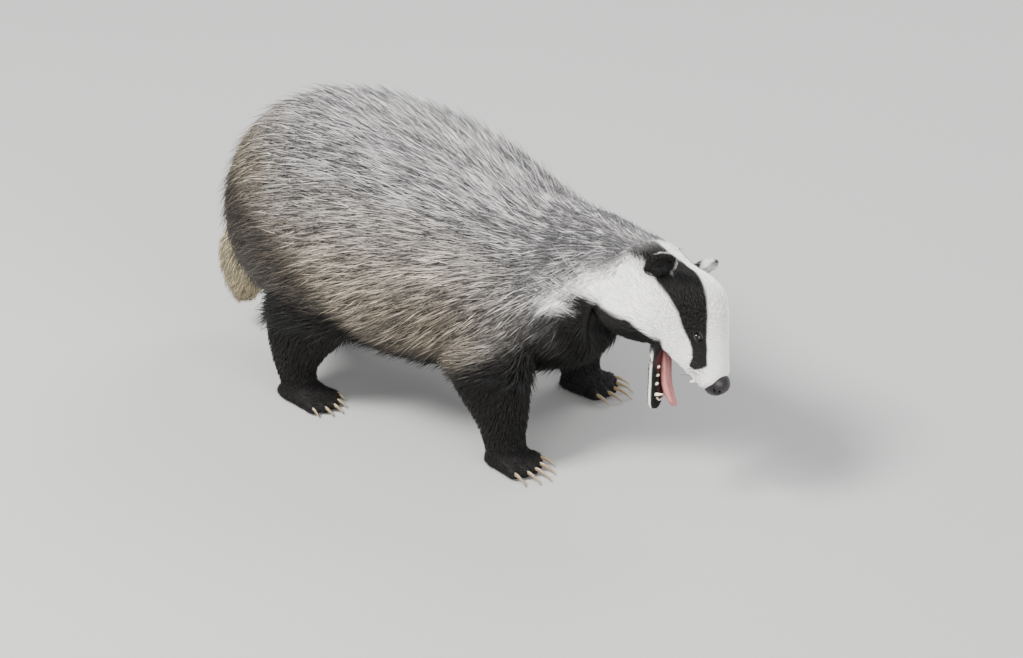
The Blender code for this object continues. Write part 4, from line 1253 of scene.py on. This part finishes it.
class OBJECT_OT_badger_head_coat(bpy.types.Operator):
    """Short close hair of head and lower jaw"""
    bl_idname = "object.badger_head_coat"
    bl_label = "Head coat"

    def execute(self, context):
        coat = coat_settings()
        found = skin_data()["found"]
        here = found["here"]
        nose = np.linalg.norm((here - np.array(NOSE_PLACE)) / np.array(NOSE_SIZE), axis=1)
        folded = np.abs(here) * (1, 1, 0) + here * (0, 0, 1)
        eye = np.linalg.norm(folded - np.array(EYE_PLACE), axis=1)
        weight = ramp(found["head"], 0.2, 0.6) * (1 - found["lip"]) * mix(1.0, 0.15, found["ear_hollow"])
        weight = weight * (nose > 1.02) * (eye > EYE_RADIUS + 0.0012)
        weight = weight * mix(1.0, 2.2, ramp(here[:, 0], 0.03, 0.10))
        roots, normals, places, draw = scatter(weight, coat.head_tufts, HEAD_SEED)
        count = len(roots)
        found = marks(roots, normals)
        here = found["here"]
        cheek = ramp(found["angle"], 5.0, -40.0) * ramp(here[:, 0], 0.08, 0.02)
        lie = -HEAD_AXES[0] - HEAD_AXES[2] * (0.45 * cheek)[:, None]
        lie = swung(lie, normals, draw.normal(0.0, HEAD_STRAY, count))
        reach = mix(coat.head_hair, MUZZLE_HAIR, ramp(here[:, 0], 0.02, 0.105))
        reach = reach * mix(1.0, 2.5, ramp(here[:, 0], 0.02, -0.03))
        reach = reach * mix(1.0, 1.8, cheek) * draw.uniform(0.7, 1.2, count)
        rise = mix(coat.head_depth * 1.25, MUZZLE_RISE, ramp(here[:, 0], 0.03, 0.11))
        rise = rise * draw.uniform(0.5, 1.2, count)
        ear = found["ear"]
        throat = found["throat"] * ramp(here[:, 0], 0.055, 0.030) * (1 - ear)
        reach, rise = reach * mix(1.0, 1.5, throat), rise * mix(1.0, 1.9, throat)
        up = turned_like_ears(here)
        lie = mix(lie, up + normals * 0.4, ear[:, None])
        reach = mix(reach, EAR_HAIR * draw.uniform(0.6, 1.2, count), ear)
        rise = mix(rise, EAR_RISE * draw.uniform(0.5, 1.2, count), ear)
        lines, ups = strands(roots, normals, lie, reach, rise, 2)
        gather(lines, roots, HEAD_LOCKS, draw.uniform(0.0, 0.35, count), draw)
        own = draw.uniform(-1.0, 0.9, (count, 1))
        shades = []
        for line, part in zip(lines, (0.8, 0.95, 1.05)):
            ground = ground_colour(line, marks(line, normals))
            spread = mix(0.14, 0.50, ramp(ground.mean(axis=1, keepdims=True), 0.10, 0.03))
            shades.append(np.clip(ground * part * (1 + spread * own), 0, 1))
        width = mix(CROWN_WIDTH, MUZZLE_WIDTH, ramp(here[:, 0], 0.0, 0.10)) * draw.uniform(0.8, 1.2, count)
        blades("coat_head", lines, ups, width, shades, places, "head_coat")
        return {"FINISHED"}


class OBJECT_OT_badger_leg_coat(bpy.types.Operator):
    """Dense black hair of legs and feet"""
    bl_idname = "object.badger_leg_coat"
    bl_label = "Leg coat"

    def execute(self, context):
        coat = coat_settings()
        found = skin_data()["found"]
        points = skin_data()["points"]
        weight = ramp(found["leg"], 0.1, 0.5) * (points[:, 2] > 0.004)
        weight = weight * mix(1.0, 1.6, ramp(points[:, 2], 0.05, 0.02))
        roots, normals, places, draw = scatter(weight, coat.leg_tufts, LEG_SEED)
        count = len(roots)
        found = marks(roots, normals)
        foot = ramp(roots[:, 2], 0.040, 0.024)
        lie = mix(np.array((-0.35, 0.0, -1.0)), np.array((1.0, 0.0, -0.45)), foot[:, None])
        lie = swung(lie, normals, draw.normal(0.0, LEG_STRAY, count))
        reach = mix(coat.leg_hair, FOOT_HAIR, ramp(roots[:, 2], 0.120, 0.022))
        reach = reach * draw.uniform(0.7, 1.2, count)
        rise = mix(coat.leg_depth, FOOT_RISE, ramp(roots[:, 2], 0.080, 0.020))
        rise = rise * draw.uniform(0.6, 1.2, count)
        lines, ups = strands(roots, normals, lie, reach, rise, 2)
        lines[..., 2] = np.maximum(lines[..., 2], HAIR_FLOOR)
        gather(lines, roots, LEG_LOCKS, draw.uniform(0.0, 0.35, count), draw)
        lines[..., 2] = np.maximum(lines[..., 2], HAIR_FLOOR)
        ground = ground_colour(roots, found) * draw.uniform(0.7, 1.5, (count, 1))
        shades = [ground * 0.8, ground, np.clip(ground * 1.3, 0, 1)]
        width = mix(LEG_WIDTH, FOOT_WIDTH, foot) * draw.uniform(0.8, 1.2, count)
        blades("coat_legs", lines, ups, width, shades, places, "leg_coat")
        return {"FINISHED"}


class OBJECT_OT_badger_tail_coat(bpy.types.Operator):
    """Long pale hair of the tail"""
    bl_idname = "object.badger_tail_coat"
    bl_label = "Tail coat"

    def execute(self, context):
        coat = coat_settings()
        found = skin_data()["found"]
        weight = ramp(found["tail"], 0.2, 0.6)
        roots, normals, places, draw = scatter(weight, coat.tail_tufts, TAIL_SEED)
        count = len(roots)
        lie = np.array((-0.30, 0.05, -1.0)) + normals * 0.25
        lie = swung(lie, normals, draw.normal(0.0, TAIL_STRAY, count))
        reach = coat.tail_hair * draw.uniform(0.7, 1.15, count)
        reach = reach * mix(0.75, 1.0, ramp(roots[:, 2], 0.05, 0.11))
        rise = draw.uniform(*TAIL_RISE, count)
        lines, ups = strands(roots, normals, lie, reach, rise, 3)
        lines[..., 2] = np.maximum(lines[..., 2], TAIL_FLOOR)
        own = gather(lines, roots, TAIL_LOCKS, draw.uniform(0.1, 0.5, count), draw)
        tone = draw.uniform(0.8, 1.2, (count, 1)) * draw.uniform(0.85, 1.12, (own.max() + 1, 1))[own]
        pale, band = np.array(coat.tail), np.array(coat.band)
        shares = (0.35, 0.15, draw.uniform(0, 0.3, (count, 1)), 0.0)
        shades = [np.clip(mix(pale, band, share) * tone, 0, 1) for share in shares]
        blades("coat_tail", lines, ups, draw.uniform(*TAIL_WIDTH, count), shades, places, "tail_coat")
        return {"FINISHED"}


class OBJECT_OT_badger_eyes(bpy.types.Operator):
    """Eyes with their lids"""
    bl_idname = "object.badger_eyes"
    bl_label = "Eyes"

    def execute(self, context):
        face = face_settings()
        wet = eye_material(face)
        lid_skin = lid_material(face)
        for side, name in ((-1, "right"), (1, "left")):
            middle = eye_middle(side)
            eyeball = new_object(f"eyeball_{name}", *ball(middle, HEAD_AXES, (EYE_RADIUS,) * 3, 40, 28))
            eyeball.data.materials.append(wet)
            stands_in(eyeball, "eye", f"eye_{name}")
            lid = new_object(f"lids_{name}", *self.lid_form(side, middle))
            lid.data.materials.append(lid_skin)
            stands_in(lid, "head_coat")
        return {"FINISHED"}

    def lid_form(self, side, middle):
        """A rim of skin that closes round the eye to an almond, low at the corners."""
        look = np.array(turn_head((EYE_LOOK.x, side * EYE_LOOK.y, EYE_LOOK.z)))
        along = unit(HEAD_AXES[0] - look * (HEAD_AXES[0] @ look))
        across = np.cross(look, along)
        steps, around = 48, 12
        long, tall = LID_OPENING
        wide_rim, thick_rim = LID_RIM
        rings = []
        for step in range(steps):
            turn = 2 * math.pi * step / steps
            wide = math.cos(turn)
            out = along * wide * long + across * math.sin(turn) * tall * (1 - 0.25 * wide * wide)
            spread = np.linalg.norm(out)
            depth = math.sqrt(max(EYE_RADIUS ** 2 - spread ** 2, 0.0)) * 0.9 + LID_GAP
            base = np.array(middle) + out + look * depth
            lie = unit(out)
            rings.append([base + (lie * math.cos(phase) * wide_rim + look * math.sin(phase) * thick_rim)
                          for phase in (2 * math.pi * k / around for k in range(around))])
        points = np.array(rings).reshape(-1, 3)
        faces = []
        for step in range(steps):
            low, high = around * step, around * ((step + 1) % steps)
            for k in range(around):
                nxt = (k + 1) % around
                faces.append((low + k, low + nxt, high + nxt, high + k))
        return points, faces


class OBJECT_OT_badger_nose(bpy.types.Operator):
    """Bare nose pad with its nostrils and middle groove"""
    bl_idname = "object.badger_nose"
    bl_label = "Nose"

    def execute(self, context):
        points, faces = ball((0.0, 0.0, 0.0), np.eye(3), (1.0, 1.0, 1.0), 128, 90)
        forward, left, up = points.T
        out = np.abs(left)
        bulge = self.mound(out - 0.45, 0.28, up - 0.25, 0.4)
        points = points * (1 + 0.05 * bulge[:, None])
        front = ramp(forward, 0.0, 0.4)
        hole = self.mound(out - 0.40, 0.17, up + 0.02 - 0.55 * (out - 0.40), 0.16)
        slit = self.mound(out - 0.72, 0.20, up + 0.18 - 0.5 * (out - 0.72), 0.085)
        groove = np.exp(-(left / 0.07) ** 2) * ramp(up, 0.25, -0.15)
        points = points * (1 - front * (0.50 * hole + 0.22 * slit + 0.12 * groove))[:, None]
        points[:, 2] += 0.10 * ramp(forward, 0.2, 1.0) * ramp(up, 0.2, 0.9)
        local = points * np.array(NOSE_SIZE) * 0.97 + np.array(NOSE_PLACE)
        nose = new_object("nose_pad", np.array(HEAD_PLACE) + local @ HEAD_AXES, faces)
        # Painted light and shade on the pad: the top is painted lighter and the underside darker, and the
        # nostrils nearly black as painted shade in their pits
        nostril_shade = np.clip(front * np.maximum(hole, slit) * 1.4, 0, 1)
        top = ramp(up, -0.1, 0.6)
        skin = np.array(face_settings().nose)
        paint(nose.data, mix(mix(skin * 0.7, skin, top[:, None]), skin * 0.15, nostril_shade[:, None]))
        nose.data.materials.append(nose_material())
        stands_in(nose, "nose_skin", "nose")
        return {"FINISHED"}

    def mound(self, across, wide, rise, tall):
        """1 at a place on the pad, fading out round it."""
        return np.exp(-(across / wide) ** 2 - (rise / tall) ** 2)


class OBJECT_OT_badger_mouth(bpy.types.Operator):
    """Tongue and teeth"""
    bl_idname = "object.badger_mouth"
    bl_label = "Mouth"

    def execute(self, context):
        face = face_settings()
        tongue = new_object("tongue_flesh", *self.tongue_form())
        tongue.data.materials.append(tongue_material(face))
        stands_in(tongue, "tongue_skin", "tongue")
        forms = []
        for side in (-1, 1):
            forms.extend(self.tooth(side, *canine) for canine in CANINES)
            for step in range(TEETH_IN_ROW):
                for upper, first, stride, tall, thick in TOOTH_ROWS:
                    place = [start + move * step for start, move in zip(first, stride)]
                    forms.append(self.tooth(side, upper, place, tall, thick))
        teeth = joined([new_object("tooth", *form) for form in forms], "teeth")
        teeth.data.materials.append(enamel_material(face))
        stands_in(teeth, "head_coat")
        return {"FINISHED"}

    def tongue_form(self):
        """A tongue with a crease along its middle, which lies in the jaw and hangs out at the tip."""
        count, around = 60, 40
        rows = rows_at(TONGUE, np.linspace(0.0, len(TONGUE) - 1, count))
        centres = np.array([on_jaw(along, left, above) for along, left, above in rows[:, :3]])
        ahead = unit(np.gradient(centres, axis=0))
        ups = unit(np.cross(ahead, HEAD_AXES[1]))
        sides = np.tile(HEAD_AXES[1], (count, 1))
        thick = rows[:, 4] * mix(1.25, 1.9, ramp(rows[:, 0], 0.02, 0.06))
        middles = centres - ups * (thick - rows[:, 4])[:, None]
        rings = ovals(middles, sides, ups, rows[:, 3], thick, thick, around)
        turn = 2 * np.pi * np.arange(around) / around
        spread = np.cos(turn)
        crease = (np.exp(-(spread / 0.22) ** 2) - 0.5 * np.abs(spread)) * (np.sin(turn) > 0)
        rings -= ups[:, None, :] * crease[None, :, None] * (rows[:, 4] * 0.40)[:, None, None]
        return tube(rings)

    def tooth(self, side, upper, place, tall, thick):
        """A pointed tooth, its root sunk in the gum and its tip bent back."""
        x, y, z = place
        if upper:
            root, bend = on_head(x, side * y, z), HEAD_AXES[0]
            direction = np.array(turn_head((-0.05, 0.0, -1.0)).normalized())
        else:
            root, bend = on_jaw(x, side * y, z), np.array(turn_head(JAW_FORWARD))
            direction = np.array(turn_head(JAW_UP))
        count = 12
        parts = np.linspace(-0.45, 1.0, count)
        share = np.clip(parts, 0, 1)
        bent = bend * (tall * 0.16 * share ** 2)[:, None]
        centres = np.array(root) + direction * (tall * parts)[:, None] - bent
        size = thick * np.sqrt(np.maximum(1 - share ** 1.6, 0.004))
        sides = np.tile(unit(np.cross(direction, bend)), (count, 1))
        return tube(ovals(centres, sides, np.tile(unit(bend), (count, 1)), size * 0.8, size, size, 14))


class OBJECT_OT_badger_claws(bpy.types.Operator):
    """Claws of the four feet"""
    bl_idname = "object.badger_claws"
    bl_label = "Claws"

    def execute(self, context):
        forms = []
        for name in LEGS:
            for middle, turned, size, tall in foot_layout(name)[4]:
                root = middle + turned * size.x * 0.4 + Vector((0.0, 0.0, size.z * 0.2))
                forms.append(self.claw(np.array(root), np.array(turned), tall * 0.98, CLAW_THICK))
        claws = joined([new_object("claw", *form) for form in forms], "claws")
        claws.data.materials.append(horn_material(face_settings()))
        stands_in(claws, "leg_coat")
        return {"FINISHED"}

    def claw(self, root, heading, tall, thick):
        """A curved claw that arches forward and comes down to the floor."""
        count = 14
        share = np.linspace(0.0, 1.0, count)
        size = thick * np.sqrt(np.maximum(1 - share ** 1.5, 0.01))
        centres = root + heading * (tall * share)[:, None]
        arch = root[2] + tall * (0.28 * share - 0.60 * share ** 2)
        centres[:, 2] = np.maximum(arch, size + CLAW_FLOOR)
        sides = np.tile(np.cross(heading, (0.0, 0.0, 1.0)), (count, 1))
        ups = np.tile((0.0, 0.0, 1.0), (count, 1))
        return tube(ovals(centres, sides, ups, size * 0.65, size, size, 12))


class OBJECT_OT_badger_whiskers(bpy.types.Operator):
    """Whiskers of the muzzle"""
    bl_idname = "object.badger_whiskers"
    bl_label = "Whiskers"

    def execute(self, context):
        draw = np.random.default_rng(WHISKER_SEED)
        count = WHISKERS
        side = np.where(np.arange(count) % 2 == 0, -1.0, 1.0)
        angle = np.radians(draw.uniform(-38.0, 6.0, count))
        reach = draw.uniform(0.098, 0.116, count)
        wide, top, bottom = columns_at(HEAD, reach, (1, 2, 3))
        high = np.where(angle < 0, bottom, top)
        local = np.stack((reach, side * wide * np.cos(angle) * 0.96, high * np.sin(angle) * 0.96), axis=1)
        roots, normals = on_skin(np.array(HEAD_PLACE) + local @ HEAD_AXES)
        lie = np.stack((draw.uniform(-0.9, -0.2, count), side * draw.uniform(0.6, 1.0, count),
                        draw.uniform(-0.5, -0.05, count)), axis=1) @ HEAD_AXES
        lie = unit(lie)
        tall = draw.uniform(0.012, 0.026, count)
        up = np.array((0, 0, 1.0))
        lines = np.array([roots + lie * (tall * part)[:, None] - up * (tall * 0.22 * part * part)[:, None]
                          for part in (0.0, 0.33, 0.66, 1.0)])
        shade = np.tile(np.array(face_settings().whisker), (count, 1))
        blades("whiskers", lines, np.array([normals] * len(lines)), np.full(count, WHISKER_WIDTH),
               [shade] * len(lines), np.full((count, 2), 0.5), "head_coat")
        return {"FINISHED"}


# Half side of the floor
FLOOR_HALF = 6.0
# Lamps: name, place, side of the square, watts
LIGHTS = (
    ("key", (-1.1, -1.6, 2.6), 1.0, 268.0),
    ("fill", (2.6, -1.4, 1.3), 2.0, 112.0),
    ("rim", (0.4, 2.4, 2.0), 1.6, 70.0),
)
LIGHT_AIM = Vector((0.0, 0.0, 0.15))
# Camera, matched to the photo: degrees from the animal's right side towards its head, and above the floor
CAMERA_AZIMUTH, CAMERA_ELEVATION = 32.0, 30.0
CAMERA_AIM, CAMERA_DISTANCE = Vector((0.064, 0.0, 0.104)), 4.5
# Width of the sensor and focal length in millimetres
CAMERA_SENSOR, CAMERA_LENS = 36.0, 143.3


class OBJECT_OT_badger_stage(bpy.types.Operator):
    """Pale floor, soft studio light and the camera"""
    bl_idname = "object.badger_stage"
    bl_label = "Stage"

    def execute(self, context):
        scene = context.scene
        stage = scene.badger_stage
        mesh = bpy.data.meshes.new("floor")
        half = FLOOR_HALF
        corners = [(-half, -half, 0), (half, -half, 0), (half, half, 0), (-half, half, 0)]
        mesh.from_pydata(corners, [], [(0, 1, 2, 3)])
        mesh.materials.append(floor_material(stage))
        floor = bpy.data.objects.new("floor", mesh)
        scene.collection.objects.link(floor)
        world = bpy.data.worlds.new("studio")
        world.use_nodes = True
        set_shader(world.node_tree.nodes["Background"], Color=(*stage.sky, 1.0), Strength=stage.strength)
        scene.world = world
        for name, place, size, power in LIGHTS:
            light = bpy.data.lights.new(name, "AREA")
            light.energy = power
            light.size = size
            self.aimed(scene, name, light, Vector(place), LIGHT_AIM - Vector(place))
        azimuth, elevation = math.radians(CAMERA_AZIMUTH), math.radians(CAMERA_ELEVATION)
        towards = Vector((math.cos(elevation) * math.sin(azimuth), -math.cos(elevation) * math.cos(azimuth),
                          math.sin(elevation)))
        data = bpy.data.cameras.new("camera")
        data.sensor_width = CAMERA_SENSOR
        data.lens = CAMERA_LENS
        place = CAMERA_AIM + SHIFT + towards * CAMERA_DISTANCE
        scene.camera = self.aimed(scene, "camera", data, place, -towards)
        return {"FINISHED"}

    def aimed(self, scene, name, data, place, direction):
        """A lamp or camera at a place, looking in a direction."""
        thing = bpy.data.objects.new(name, data)
        thing.location = place
        thing.rotation_euler = direction.to_track_quat("-Z", "Y").to_euler()
        scene.collection.objects.link(thing)
        return thing


class VIEW3D_PT_badger(bpy.types.Panel):
    """The pieces of the badger, in the order they are made"""
    bl_label = "European Badger"
    bl_space_type = "VIEW_3D"
    bl_region_type = "UI"
    bl_category = "Badger"

    def draw(self, context):
        for kind in OPERATORS:
            self.layout.operator(kind.bl_idname)


OPERATORS = (OBJECT_OT_badger_skin, OBJECT_OT_badger_body_coat, OBJECT_OT_badger_head_coat,
             OBJECT_OT_badger_leg_coat, OBJECT_OT_badger_tail_coat, OBJECT_OT_badger_eyes,
             OBJECT_OT_badger_nose, OBJECT_OT_badger_mouth, OBJECT_OT_badger_claws, OBJECT_OT_badger_whiskers,
             OBJECT_OT_badger_stage)
CLASSES = (BadgerCoat, BadgerFace, BadgerStage, *OPERATORS, VIEW3D_PT_badger)


def register():
    for kind in CLASSES:
        bpy.utils.register_class(kind)
    bpy.types.Scene.badger_coat = PointerProperty(type=BadgerCoat)
    bpy.types.Scene.badger_face = PointerProperty(type=BadgerFace)
    bpy.types.Scene.badger_stage = PointerProperty(type=BadgerStage)


def unregister():
    del bpy.types.Scene.badger_stage
    del bpy.types.Scene.badger_face
    del bpy.types.Scene.badger_coat
    for kind in reversed(CLASSES):
        bpy.utils.unregister_class(kind)


def main():
    register()
    for kind in OPERATORS:
        name = kind.bl_idname.split(".")[1]
        if getattr(bpy.ops.object, name)() != {"FINISHED"}:
            raise RuntimeError(f"{name} didn't finish")


if __name__ == "__main__":
    main()
